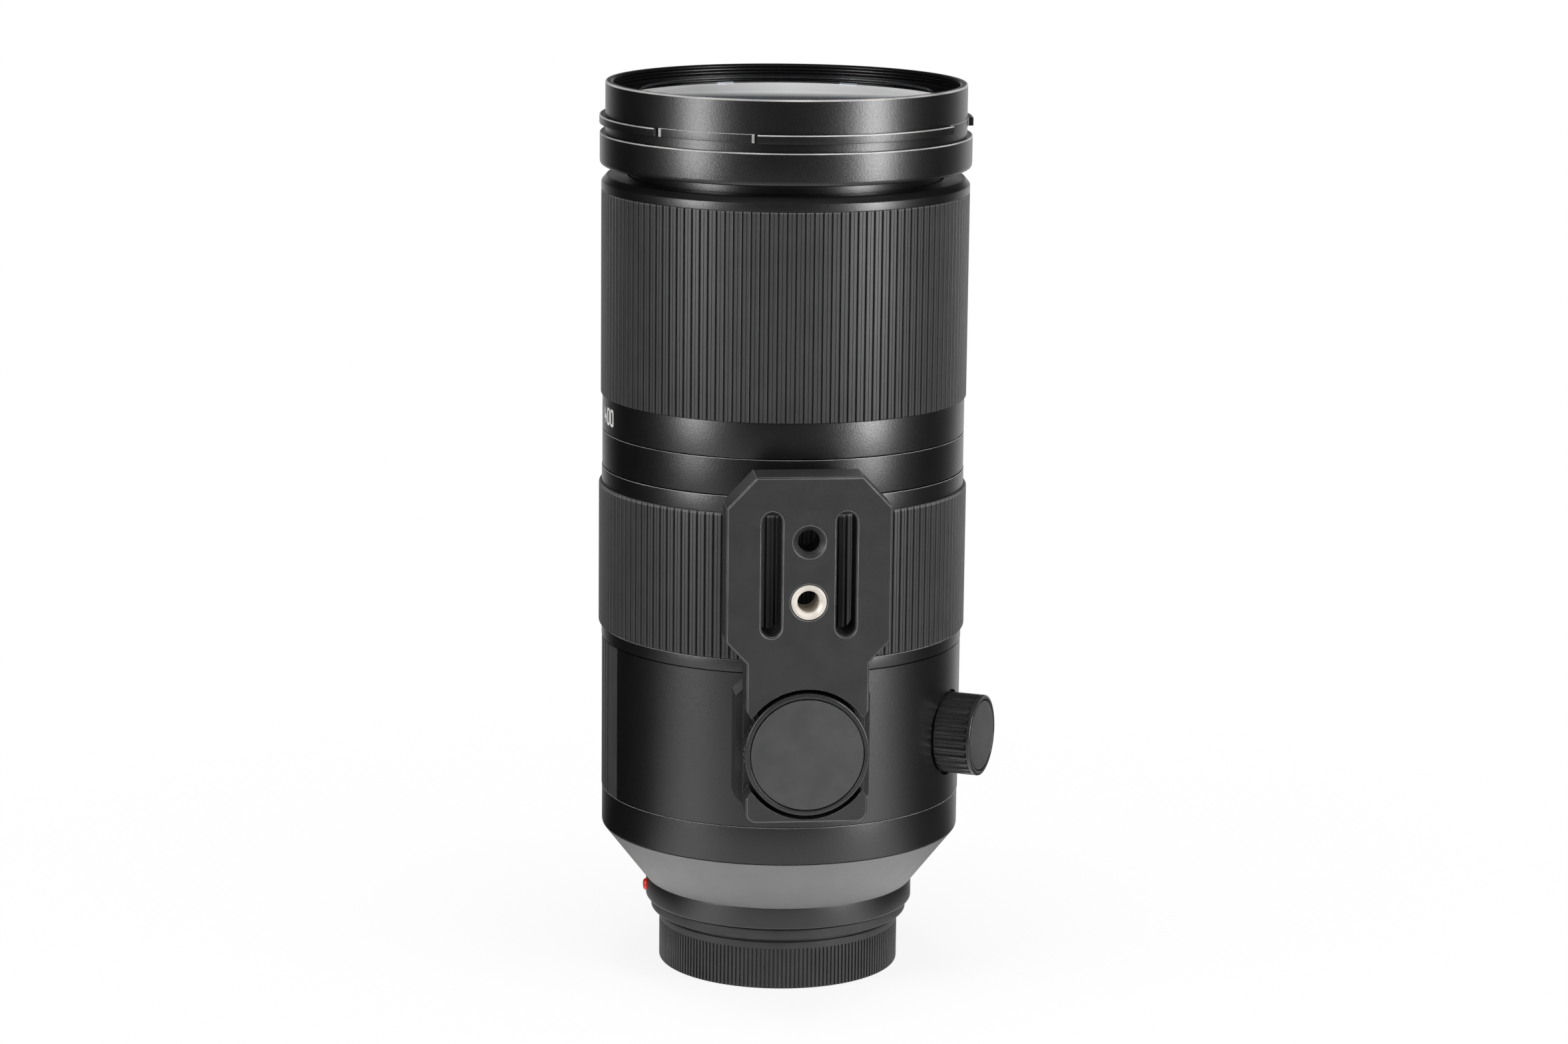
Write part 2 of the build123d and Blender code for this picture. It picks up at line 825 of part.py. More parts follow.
with BuildPart() as variator_rollers:
    rollers(variator_outer, variator_wall - seat_gap, variator_roller_height)
variator_rollers.part.label = "variator_rollers"
export_step(variator_rollers.part, "parts/variator_rollers.step")

variator_edge = 3.2
variator_sag = 1.6
with BuildPart() as variator_rear_element:
    glass(
        variator_bore - seat_gap,
        variator_roller_height - variator_lip / 2 - seat_gap - variator_edge,
        variator_edge,
        variator_sag,
        -variator_sag / 2,
    )
variator_rear_element.part.label = "variator_rear_element"
export_step(variator_rear_element.part, "parts/variator_rear_element.step")

with BuildPart() as variator_front_element:
    glass(
        variator_bore - seat_gap,
        variator_roller_height + variator_lip / 2 + seat_gap,
        variator_edge,
        -variator_sag / 2,
        variator_sag / 2,
    )
variator_front_element.part.label = "variator_front_element"
export_step(variator_front_element.part, "parts/variator_front_element.step")

iris_base = variator_base + variator_height
iris_length = 4.8
iris_wall = 1.2
iris_opening = 20.0
iris_outer = variator_outer - variator_wall / 2
with BuildPart() as iris_case:
    turned(
        (iris_opening, iris_base),
        (iris_outer, iris_base),
        (iris_outer, iris_base + iris_length),
        (iris_opening, iris_base + iris_length),
        (iris_opening, iris_base + iris_length - iris_wall),
        (iris_outer - iris_wall, iris_base + iris_length - iris_wall),
        (iris_outer - iris_wall, iris_base + iris_wall),
        (iris_opening, iris_base + iris_wall),
    )
iris_case.part.label = "iris_case"
export_step(iris_case.part, "parts/iris_case.step")

blade_count = 9
blade_thickness = 0.4
blade_width = 9.0
blade_sweep = 38.0
with BuildPart() as iris_blades:
    for step in range(blade_count):
        sector(
            iris_opening,
            iris_opening + blade_width,
            step * 360 / blade_count,
            blade_sweep,
            iris_base + iris_wall,
            blade_thickness,
        )
iris_blades.part.label = "iris_blades"
export_step(iris_blades.part, "parts/iris_blades.step")

# Cam barrel with two sets of helical slots, which turns inside the guide tube
def helical_slot(base, rise):
    """Cut one roller's path out of the cam barrel, for each roller."""
    cam_middle = (cam_inner + cam_outer) / 2
    with BuildPart(mode=Mode.PRIVATE) as cutter:
        with BuildLine() as path:
            Helix(rise * 360 / zoom_turn, rise, cam_middle, center=(0, 0, base))
        with BuildSketch(Plane(path.line @ 0, x_dir=(1, 0, 0), z_dir=path.line % 0)) as section:
            Rectangle(cam_wall + 2 * running_gap, 2 * slot_half_width)
        sweep(section.sketch, path=path.line, is_frenet=True)
        for level, turn in ((base, 0.0), (base + rise, zoom_turn)):
            with BuildSketch(facing(turn + 90, cam_inner - running_gap, level)) as end:
                Circle(slot_half_width)
            extrude(end.sketch, amount=cam_wall + 2 * running_gap)
    for angle in roller_angles:
        add(cutter.part, rotation=(0, 0, angle - 90), mode=Mode.SUBTRACT)


with BuildPart() as cam_barrel:
    turned(
        (cam_inner, cam_base),
        (cam_outer, cam_base),
        (cam_outer, cam_top),
        (cam_inner, cam_top),
    )
    helical_slot(variator_roller_height, variator_travel)
    helical_slot(front_roller_height, front_travel)
    with BuildSketch(facing(key_angle, cam_inner - running_gap, key_height)) as window:
        Rectangle(2 * key_half_width + 2 * seat_gap, 2 * key_half_height + 2 * seat_gap)
    extrude(window.sketch, amount=cam_wall + 2 * running_gap, mode=Mode.SUBTRACT)
cam_barrel.part.label = "cam_barrel"
export_step(cam_barrel.part, "parts/cam_barrel.step")

with BuildPart() as drive_key:
    with BuildSketch(facing(key_angle, cam_inner + seat_gap, key_height)) as bar:
        Rectangle(2 * key_half_width, 2 * key_half_height)
    extrude(bar.sketch, amount=sleeve_inner + key_seat - cam_inner - 2 * seat_gap)
drive_key.part.label = "drive_key"
export_step(drive_key.part, "parts/drive_key.step")

# Zoom ring: a sleeve with the number band and a lip that covers the guide tube's mouth
zoom_rubber_seat = barrel_radius - edge_break - lip_stand
zoom_lip_radius = barrel_radius + zoom_rubber_stand
zoom_lip_flat_share = 0.55
zoom_bevel = 1.3
with BuildPart() as zoom_sleeve:
    turned(
        (sleeve_inner, index_top + joint_line),
        (barrel_radius, index_top + joint_line),
        (barrel_radius, number_band_top),
        (zoom_rubber_seat, number_band_top),
        (zoom_rubber_seat, zoom_rubber_top),
        (zoom_lip_radius, zoom_rubber_top),
        (zoom_lip_radius, zoom_rubber_top + zoom_lip_length * zoom_lip_flat_share),
        (zoom_lip_radius - zoom_bevel, zoom_lip_top),
        (front_tube_outer + running_gap, zoom_lip_top),
        (front_tube_outer + running_gap, zoom_lip_top - lip_cover),
        (sleeve_inner, zoom_lip_top - lip_cover),
    )
    with BuildSketch(facing(key_angle, sleeve_inner - running_gap, key_height)) as pocket:
        Rectangle(2 * key_half_width + 2 * seat_gap, 2 * key_half_height + 2 * seat_gap)
    extrude(pocket.sketch, amount=running_gap + key_seat, mode=Mode.SUBTRACT)
zoom_sleeve.part.label = "zoom_sleeve"
export_step(zoom_sleeve.part, "parts/zoom_sleeve.step")

with BuildPart() as zoom_rubber:
    ribbed_ring(
        zoom_rubber_seat,
        zoom_lip_radius,
        number_band_top,
        zoom_rubber_length,
        rib_count,
        rib_groove_width,
        rib_groove_depth,
    )
zoom_rubber.part.label = "zoom_rubber"
export_step(zoom_rubber.part, "parts/zoom_rubber.step")

# Front barrel: the tube that extends, its rollers and the glass that it carries
tube_lap = 2.8
tube_tail = 4.6
shoulder_height = 1.6
shoulder_width = 1.9
filter_depth = 4.6
thread_relief_depth = 0.5
thread_relief_height = 0.4
name_ring_inset = 0.6
front_glass_edge = 6.4
front_glass_sag = 1.2
element_gap = 2.5
doublet_edge = 9.0
front_tube_base = front_roller_height - tube_tail
front_tube_top = hood_base + tube_lap
name_ring_lap = 1.6
name_ring_height = 1.0
name_ring_step = 2.7
name_ring_radius = filter_radius - name_ring_inset
lap_share = 1 - ((glass_radius - shoulder_width) / glass_radius) ** 2
glass_relief = front_glass_sag * lap_share + seat_gap
name_seat = rim_height - filter_depth
thread_base = name_seat + name_ring_height + thread_relief_height
front_glass_base = name_seat - glass_relief - front_glass_edge
spacer_base = front_glass_base - element_gap
doublet_base = spacer_base - glass_relief - doublet_edge
with BuildPart() as front_tube:
    turned(
        (front_tube_inner, front_tube_base),
        (front_tube_outer, front_tube_base),
        (front_tube_outer, front_tube_top),
        (front_tube_inner, front_tube_top),
        (front_tube_inner, doublet_base),
        (front_tube_inner - shoulder_width, doublet_base),
        (front_tube_inner - shoulder_width, doublet_base - shoulder_height),
        (front_tube_inner, doublet_base - shoulder_height),
    )
    for angle in roller_angles:
        with Locations(facing(angle, front_tube_outer, front_roller_height)):
            Hole(roller_pin + seat_gap, depth=2 * front_tube_wall)
front_tube.part.label = "front_tube"
export_step(front_tube.part, "parts/front_tube.step")

with BuildPart() as cam_rollers:
    rollers(front_tube_outer, front_tube_wall, front_roller_height)
cam_rollers.part.label = "cam_rollers"
export_step(cam_rollers.part, "parts/cam_rollers.step")

with BuildPart() as front_doublet:
    glass(
        front_tube_inner - glass_gap,
        doublet_base,
        doublet_edge,
        -shoulder_height,
        front_glass_sag,
    )
front_doublet.part.label = "front_doublet"
export_step(front_doublet.part, "parts/front_doublet.step")

with BuildPart() as element_spacer:
    turned(
        (front_tube_inner - shoulder_width, spacer_base),
        (front_tube_inner - glass_gap, spacer_base),
        (front_tube_inner - glass_gap, front_glass_base),
        (front_tube_inner - shoulder_width, front_glass_base),
    )
element_spacer.part.label = "element_spacer"
export_step(element_spacer.part, "parts/element_spacer.step")

with BuildPart() as front_element:
    glass(glass_radius, front_glass_base, front_glass_edge, -element_gap / 2, front_glass_sag)
front_element.part.label = "front_element"
export_step(front_element.part, "parts/front_element.step")

# Hood ring: takes the hood on three bayonet tabs and filters in its bore
flare_length = 7.7
flare_round = 1.2
flare_round_share = 0.33
tab_rise = 9.8
tab_height = 2.0
tab_reach = 0.1
tab_spans = ((220.0, 90.3), (343.6, 71.9), (81.8, 89.2))
hood_stop_height = 2.1
hood_stop_sweep = 2.2
hood_stop_spots = (308.1, 343.6)
flare_step = flare_round * flare_round_share
with BuildPart() as hood_ring:
    turned(
        (front_tube_outer + seat_gap, hood_base + flare_round),
        (hood_ring_radius - 2 * flare_round, hood_base),
        (hood_ring_radius - flare_round, hood_base),
        (hood_ring_radius - flare_step, hood_base + flare_step),
        (hood_ring_radius, hood_base + flare_round),
        (hood_ring_radius, hood_base + flare_length - edge_break),
        (hood_ring_radius - edge_break, hood_base + flare_length),
        (hood_collar_radius, hood_base + flare_length),
        (hood_collar_radius, rim_height - edge_break),
        (hood_collar_radius - edge_break, rim_height),
        (filter_radius + edge_break, rim_height),
        (filter_radius, rim_height - edge_break),
        (filter_radius, thread_base),
        (filter_radius + thread_relief_depth, thread_base),
        (filter_radius + thread_relief_depth, name_seat + name_ring_height),
        (name_ring_radius + seat_gap, name_seat + name_ring_height),
        (name_ring_radius + seat_gap, name_seat),
        (front_tube_inner, name_seat),
        (front_tube_inner, front_tube_top),
        (front_tube_outer + seat_gap, front_tube_top),
    )
    for start, sweep in tab_spans:
        sector(
            hood_collar_radius - seat_gap,
            hood_ring_radius + tab_reach,
            start,
            sweep,
            hood_base + tab_rise,
            tab_height,
        )
    for start in hood_stop_spots:
        sector(
            hood_collar_radius - seat_gap,
            hood_ring_radius - edge_break,
            start,
            hood_stop_sweep,
            hood_base + flare_length,
            hood_stop_height,
        )
hood_ring.part.label = "hood_ring"
export_step(hood_ring.part, "parts/hood_ring.step")

with BuildPart() as name_ring:
    turned(
        (glass_radius - name_ring_lap, name_seat),
        (name_ring_radius, name_seat),
        (name_ring_radius, name_seat + name_ring_height),
        (filter_radius - name_ring_step, name_seat + name_ring_height),
        (filter_radius - name_ring_step, name_seat + name_ring_height / 2),
        (glass_radius - name_ring_lap / 2, name_seat + name_ring_height / 2),
    )
name_ring.part.label = "name_ring"
export_step(name_ring.part, "parts/name_ring.step")

# Focus ring, which turns without end and is read by a sensor
focus_rubber_seat = barrel_radius + lip_stand - edge_break
code_seat = 0.8
with BuildPart() as focus_sleeve:
    turned(
        (sleeve_inner, spacer_top + joint_line),
        (focus_rubber_seat, spacer_top + joint_line),
        (focus_rubber_seat, focus_rubber_top),
        (barrel_radius + lip_stand, focus_rubber_top),
        (barrel_radius + lip_stand, focus_lip_top - joint_line),
        (sleeve_inner, focus_lip_top - joint_line),
        (sleeve_inner, code_base + code_length),
        (sleeve_inner + code_seat, code_base + code_length),
        (sleeve_inner + code_seat, code_base),
        (sleeve_inner, code_base),
    )
focus_sleeve.part.label = "focus_sleeve"
export_step(focus_sleeve.part, "parts/focus_sleeve.step")

with BuildPart() as code_ring:
    turned(
        (sleeve_inner + seat_gap, code_base + seat_gap),
        (sleeve_inner + code_seat - seat_gap, code_base + seat_gap),
        (sleeve_inner + code_seat - seat_gap, code_base + code_length - seat_gap),
        (sleeve_inner + seat_gap, code_base + code_length - seat_gap),
    )
code_ring.part.label = "code_ring"
export_step(code_ring.part, "parts/code_ring.step")

with BuildPart() as focus_rubber:
    ribbed_ring(
        focus_rubber_seat,
        focus_rubber_seat + rubber_stand,
        spacer_top + joint_line,
        focus_rubber_length - joint_line,
        rib_count,
        rib_groove_width,
        rib_groove_depth,
    )
focus_rubber.part.label = "focus_rubber"
export_step(focus_rubber.part, "parts/focus_rubber.step")

# Tripod collar: a ring with the flat boss of the foot
foot_back = barrel_radius + foot_stand
foot_face = foot_back + foot_thickness
clamp_height = foot_base + clamp_rise
screw_gap = 0.1
clamp_thread_end = foot_back - clamp_thread_length
lock_seat = barrel_radius - lock_face_drop
lock_base = lock_seat + lock_feed + screw_gap
lock_face = lock_base + lock_knob_length
spot_face_radius = lock_knob_radius + 2 * running_gap
with BuildPart() as collar_ring:
    with BuildSketch(Plane.XY.offset(rear_ring_top)) as outside:
        Circle(barrel_radius)
    extrude(outside.sketch, amount=collar_length)
    with BuildSketch(facing(0, 0, boss_base)) as boss:
        Rectangle(2 * boss_half_width, boss_height, align=(Align.CENTER, Align.MIN))
        chamfer(boss.vertices(), boss_corner)
    extrude(boss.sketch, amount=foot_back)
    with BuildSketch(Plane.XY.offset(rear_ring_top)) as bore:
        Circle(collar_inner)
    extrude(bore.sketch, amount=collar_length, mode=Mode.SUBTRACT)
    with BuildSketch(facing(0, clamp_thread_end, clamp_height)) as thread:
        Circle(clamp_screw_radius + screw_gap)
    extrude(thread.sketch, amount=clamp_thread_length, mode=Mode.SUBTRACT)
    with BuildSketch(facing(lock_angle, lock_seat, lock_height)) as spot_face:
        Circle(spot_face_radius)
    extrude(spot_face.sketch, amount=overrun, mode=Mode.SUBTRACT)
    with BuildSketch(facing(lock_angle, 0, lock_height)) as passage:
        Circle(lock_screw_radius + screw_gap)
    extrude(passage.sketch, amount=barrel_radius, mode=Mode.SUBTRACT)
    sector(
        barrel_radius - grip_thickness,
        barrel_radius + overrun,
        grip_start,
        grip_end - grip_start,
        rear_ring_top,
        collar_length,
        mode=Mode.SUBTRACT,
    )
collar_ring.part.label = "collar_ring"
export_step(collar_ring.part, "parts/collar_ring.step")

# Ribbed grip, let into the back of the collar
grip_pitch_angle = grip_rib_pitch / barrel_radius * 180 / pi
grip_margin_angle = grip_margin / barrel_radius * 180 / pi
grip_seam_angle = seat_gap / barrel_radius * 180 / pi
grip_sweep = grip_end - grip_start - 2 * grip_seam_angle
grip_ribs = int((grip_sweep - 2 * grip_margin_angle) / grip_pitch_angle)
grip_first = grip_start + (grip_sweep - (grip_ribs - 1) * grip_pitch_angle) / 2
with BuildPart() as collar_grip:
    with BuildSketch(Plane.XY.offset(rear_ring_top)) as outline:
        with BuildLine():
            outer_arc = CenterArc((0, 0), barrel_radius, grip_start + grip_seam_angle - 90, grip_sweep)
            inner_arc = CenterArc(
                (0, 0),
                barrel_radius - grip_thickness + seat_gap,
                grip_start + grip_seam_angle - 90,
                grip_sweep,
            )
            Line(outer_arc @ 0, inner_arc @ 0)
            Line(outer_arc @ 1, inner_arc @ 1)
        make_face()
        with PolarLocations(
            barrel_radius,
            grip_ribs,
            start_angle=grip_first - 90,
            angular_range=grip_ribs * grip_pitch_angle,
        ):
            Rectangle(2 * grip_groove_depth, grip_groove_width, mode=Mode.SUBTRACT)
    extrude(outline.sketch, amount=collar_length)
collar_grip.part.label = "collar_grip"
export_step(collar_grip.part, "parts/collar_grip.step")

# Foot plate: a keyhole-shaped bar with two slots, two screw holes and the recess of the knob
foot_shoulder = foot_neck_length + foot_shoulder_length
foot_head_top = foot_shoulder + foot_head_length
foot_top = foot_head_top + foot_tip_length
recess_floor = foot_face - clamp_recess_depth
notch_inner = clamp_recess_radius - clamp_notch_length
notch_outer = foot_neck_half_width + foot_bevel
notch_depth = (clamp_recess_radius**2 - notch_inner**2) ** 0.5
notch_top = notch_depth + clamp_notch_length
slot_rise = foot_top - foot_slot_drop
foot_outline = (
    (foot_neck_half_width, 0),
    (foot_neck_half_width, foot_neck_length),
    (foot_head_half_width, foot_shoulder),
    (foot_head_half_width, foot_head_top),
    (foot_tip_half_width, foot_top),
)
with BuildPart() as foot_plate:
    with BuildSketch(facing(0, foot_back, foot_base)) as outline:
        with BuildLine():
            Polyline(*foot_outline, *[(-x, y) for x, y in reversed(foot_outline)], close=True)
        make_face()
        fillet(outline.vertices().group_by(Axis.Y)[0], foot_corner)
        with Locations((-foot_slot_spacing / 2, slot_rise), (foot_slot_spacing / 2, slot_rise)):
            SlotOverall(foot_slot_length, foot_slot_width, rotation=90, mode=Mode.SUBTRACT)
    extrude(outline.sketch, amount=foot_thickness)
    chamfer(foot_plate.faces().sort_by(Axis.Y)[0].edges(), foot_bevel)
    with Locations(facing(0, foot_face, foot_base + foot_top - thread_drop)):
        CounterSinkHole(thread_radius, thread_mouth)
    with Locations(facing(0, foot_face, foot_base + foot_top - bush_drop)):
        CounterSinkHole(bush_radius + seat_gap, bush_radius + foot_bevel)
    with Locations(facing(0, foot_face, clamp_height)):
        Hole(clamp_screw_radius + screw_gap)
    with BuildSketch(facing(0, recess_floor, clamp_height)) as recess:
        Circle(clamp_recess_radius)
        for side in (-1, 1):
            for end in (-1, 1):
                with BuildLine():
                    Polyline(
                        (0, 0),
                        (side * notch_outer, 0),
                        (side * notch_outer, end * notch_top),
                        (side * notch_inner, end * notch_depth),
                        close=True,
                    )
                make_face()
    extrude(recess.sketch, amount=clamp_recess_depth, mode=Mode.SUBTRACT)
foot_plate.part.label = "foot_plate"
export_step(foot_plate.part, "parts/foot_plate.step")

with BuildPart() as thread_bush:
    with BuildSketch(facing(0, foot_back, foot_base + foot_top - bush_drop)) as outline:
        Circle(bush_radius)
        Circle(thread_radius, mode=Mode.SUBTRACT)
    extrude(outline.sketch, amount=foot_thickness)
    chamfer(thread_bush.edges().group_by(Axis.Y)[0].sort_by(SortBy.LENGTH)[0], bush_mouth)
thread_bush.part.label = "thread_bush"
export_step(thread_bush.part, "parts/thread_bush.step")


def fluted(plane, radius, length, count, flute, bite):
    """Raise a round knob with scalloped flutes along its side."""
    with BuildSketch(plane) as outline:
        Circle(radius)
        with PolarLocations(radius + flute - bite, count):
            Circle(flute, mode=Mode.SUBTRACT)
    extrude(outline.sketch, amount=length)


# Foot clamp: a coin-shaped knurled knob, its inlay and its screw
clamp_base = recess_floor + running_gap
clamp_face = foot_face + clamp_knob_proud
clamp_length = clamp_face - clamp_base
clamp_head = 4.0
clamp_flute_share = 1.5
clamp_rim = 0.5
with BuildPart() as clamp_knob:
    fluted(
        facing(0, clamp_base, clamp_height),
        clamp_knob_radius,
        clamp_length - clamp_rim,
        clamp_knurl_count,
        clamp_knurl_depth * clamp_flute_share,
        clamp_knurl_depth,
    )
    with BuildSketch(facing(0, clamp_face - clamp_rim, clamp_height)) as rim:
        Circle(clamp_knob_radius - clamp_knurl_depth)
    extrude(rim.sketch, amount=clamp_rim)
    with BuildSketch(facing(0, clamp_face, clamp_height)) as seat:
        Circle(clamp_inlay_radius)
    extrude(seat.sketch, amount=-inlay_thickness, mode=Mode.SUBTRACT)
    with BuildSketch(facing(0, clamp_base, clamp_height)) as bore:
        Circle(clamp_screw_radius + seat_gap)
    extrude(bore.sketch, amount=clamp_head + seat_gap, mode=Mode.SUBTRACT)
clamp_knob.part.label = "clamp_knob"
export_step(clamp_knob.part, "parts/clamp_knob.step")

with BuildPart() as clamp_inlay:
    with BuildSketch(facing(0, clamp_face - inlay_thickness, clamp_height)) as disc:
        Circle(clamp_inlay_radius - seat_gap)
    extrude(disc.sketch, amount=inlay_thickness)
    chamfer(clamp_inlay.edges().group_by(Axis.Y)[0], screw_gap)
clamp_inlay.part.label = "clamp_inlay"
export_step(clamp_inlay.part, "parts/clamp_inlay.step")

with BuildPart() as clamp_screw:
    with BuildSketch(facing(0, clamp_thread_end + running_gap, clamp_height)) as shank:
        Circle(clamp_screw_radius)
    extrude(shank.sketch, amount=clamp_base + clamp_head - clamp_thread_end - running_gap)
clamp_screw.part.label = "clamp_screw"
export_step(clamp_screw.part, "parts/clamp_screw.step")

# Collar lock: a fluted knob on a screw that presses a shoe against the guide tube
lock_rim = 0.8
lock_rim_taper = 30.0
lock_inlay_radius = lock_knob_radius - lock_flute_radius - lock_rim / 2
lock_head = 5.0
with BuildPart() as lock_knob:
    fluted(
        facing(lock_angle, lock_base, lock_height),
        lock_knob_radius,
        lock_knob_length - lock_rim,
        lock_flute_count,
        lock_flute_radius,
        lock_flute_radius / 2,
    )
    with BuildSketch(facing(lock_angle, lock_face - lock_rim, lock_height)) as rim:
        Circle(lock_knob_radius - lock_flute_radius / 2)
    extrude(rim.sketch, amount=lock_rim, taper=lock_rim_taper)
    with BuildSketch(facing(lock_angle, lock_face, lock_height)) as seat:
        Circle(lock_inlay_radius)
    extrude(seat.sketch, amount=-inlay_thickness, mode=Mode.SUBTRACT)
    with BuildSketch(facing(lock_angle, lock_base, lock_height)) as bore:
        Circle(lock_screw_radius + seat_gap)
    extrude(bore.sketch, amount=lock_head + seat_gap, mode=Mode.SUBTRACT)
lock_knob.part.label = "lock_knob"
export_step(lock_knob.part, "parts/lock_knob.step")

with BuildPart() as lock_inlay:
    with BuildSketch(facing(lock_angle, lock_face - inlay_thickness, lock_height)) as disc:
        Circle(lock_inlay_radius - seat_gap)
    extrude(disc.sketch, amount=inlay_thickness - screw_gap)
lock_inlay.part.label = "lock_inlay"
export_step(lock_inlay.part, "parts/lock_inlay.step")

shoe_base = collar_inner + seat_gap
with BuildPart() as lock_screw:
    with BuildSketch(facing(lock_angle, shoe_base + shoe_length, lock_height)) as shank:
        Circle(lock_screw_radius)
    extrude(shank.sketch, amount=lock_base + lock_head - shoe_base - shoe_length)
lock_screw.part.label = "lock_screw"
export_step(lock_screw.part, "parts/lock_screw.step")

with BuildPart() as brake_shoe:
    with BuildSketch(facing(lock_angle, shoe_base, lock_height)) as disc:
        Circle(lock_screw_radius)
    extrude(disc.sketch, amount=shoe_length)
brake_shoe.part.label = "brake_shoe"
export_step(brake_shoe.part, "parts/brake_shoe.step")
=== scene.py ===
# %% [markdown]
# A telephoto zoom lens stands on its rear cap on a white table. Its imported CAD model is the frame:
# every node already has its true size and place, so this notebook gives each one its finish, builds
# the pieces whose fine detail a solid modeller leaves out, and lights the whole like a product photo.

# %% Load the frame
from math import cos, pi, radians, sin

import bmesh
import bpy
import numpy as np
from mathutils import Matrix, Quaternion, Vector


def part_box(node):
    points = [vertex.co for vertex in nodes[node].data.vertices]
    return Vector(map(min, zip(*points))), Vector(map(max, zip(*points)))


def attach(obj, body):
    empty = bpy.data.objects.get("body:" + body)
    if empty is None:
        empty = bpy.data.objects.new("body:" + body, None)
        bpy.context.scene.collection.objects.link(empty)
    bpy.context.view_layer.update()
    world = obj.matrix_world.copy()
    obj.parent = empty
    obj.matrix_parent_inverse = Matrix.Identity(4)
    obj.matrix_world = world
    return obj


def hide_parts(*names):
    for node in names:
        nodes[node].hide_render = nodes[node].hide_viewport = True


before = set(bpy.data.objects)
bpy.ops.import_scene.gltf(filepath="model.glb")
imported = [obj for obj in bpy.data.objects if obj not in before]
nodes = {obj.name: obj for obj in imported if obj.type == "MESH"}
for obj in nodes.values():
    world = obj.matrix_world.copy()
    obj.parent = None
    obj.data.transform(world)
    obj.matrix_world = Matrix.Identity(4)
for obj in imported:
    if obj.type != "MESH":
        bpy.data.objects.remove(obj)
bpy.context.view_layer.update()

mm = 0.001

# %% [markdown]
# The camera comes first, because everything is judged through it. Its place was worked out from the
# curves of the rings: a ring seen from above is an ellipse, and how much each one opens with height
# gives the distance and the tilt. The lens length follows from the same fit.

# %% Camera
view_from = Vector((-0.1107, -1.0234, 0.3183))
view_along = Vector((0.10581, 0.97402, -0.20026))
camera_roll = radians(0.627)
focal_pixels = 6566.0
picture_width = 2355.0
sensor_width = 36.0
camera_reach = 30.0


def link(thing):
    """Put an object into the scene's own collection."""
    bpy.context.scene.collection.objects.link(thing)
    return thing


camera_data = bpy.data.cameras.new("camera")
camera_data.sensor_fit = "HORIZONTAL"
camera_data.sensor_width = sensor_width
camera_data.lens = focal_pixels / picture_width * sensor_width
camera_data.clip_end = camera_reach
camera = link(bpy.data.objects.new("camera", camera_data))
aim = view_along.to_track_quat("-Z", "Y") @ Quaternion((0, 0, 1), camera_roll)
camera.matrix_world = Matrix.Translation(view_from) @ aim.to_matrix().to_4x4()
bpy.context.scene.camera = camera
print("focal length:", round(camera_data.lens, 1), "mm")

# %% [markdown]
# A material in Blender is a small graph of nodes. These helpers keep the graphs short: one adds a
# node and sets its sockets, one joins two sockets. Coordinates are always the object's own, so a
# grain keeps its real size and moves with its piece.

# %% Node helpers
def node(tree, kind, **values):
    """Add a shader node and set its options and its unlinked sockets."""
    made = tree.nodes.new(kind)
    for key, value in values.items():
        name = key.replace("_", " ")
        if name in made.inputs:
            made.inputs[name].default_value = value
        else:
            setattr(made, key, value)
    return made


def grain(tree, size, stretch=(1, 1, 1)):
    """A noise whose cells are about size metres, in the object's own coordinates."""
    place = node(tree, "ShaderNodeTexCoord")
    scaled = node(tree, "ShaderNodeMapping")
    scaled.inputs["Scale"].default_value = stretch
    noise = node(tree, "ShaderNodeTexNoise", Scale=1 / size, Detail=2.0, Roughness=0.5)
    tree.links.new(place.outputs["Object"], scaled.inputs["Vector"])
    tree.links.new(scaled.outputs["Vector"], noise.inputs["Vector"])
    return noise.outputs["Fac"]


def ramp(tree, source, *stops):
    """Turn a value into a colour through (position, colour) stops."""
    made = node(tree, "ShaderNodeValToRGB")
    tree.links.new(source, made.inputs["Fac"])
    while len(made.color_ramp.elements) < len(stops):
        made.color_ramp.elements.new(1.0)
    for element, (position, colour) in zip(made.color_ramp.elements, stops):
        element.position = position
        element.color = (*colour, 1)
    return made.outputs["Color"]


def levels(tree, source, *stops):
    """Turn a value into a grey through (position, brightness) stops."""
    return ramp(tree, source, *[(position, (value, value, value)) for position, value in stops])


def math(tree, operation, first, second):
    """Work out one value from a socket and either another socket or a number."""
    made = node(tree, "ShaderNodeMath", operation=operation)
    tree.links.new(first, made.inputs[0])
    if isinstance(second, float):
        made.inputs[1].default_value = second
    else:
        tree.links.new(second, made.inputs[1])
    return made.outputs[0]


def spread(tree, source, low, high):
    """Map a noise, which mostly lies between 0.3 and 0.7, to a range."""
    made = node(tree, "ShaderNodeMapRange")
    for socket, value in zip(("From Min", "From Max", "To Min", "To Max"), (0.3, 0.7, low, high)):
        made.inputs[socket].default_value = value
    tree.links.new(source, made.inputs["Value"])
    return made.outputs["Result"]


# %% [markdown]
# Most surfaces of a lens are one recipe: a dark base, a sheen that depends on how finely the metal
# was blasted before anodising, and a grain too fine to see except where a highlight breaks up on it.
# So one function makes them all, from the tint, the roughness and the size and depth of the grain.

# %% The common finish
finishes = {}
coat_roughness = 0.08
cloud_low, cloud_high = 0.35, 0.65
rough_swing = 0.1


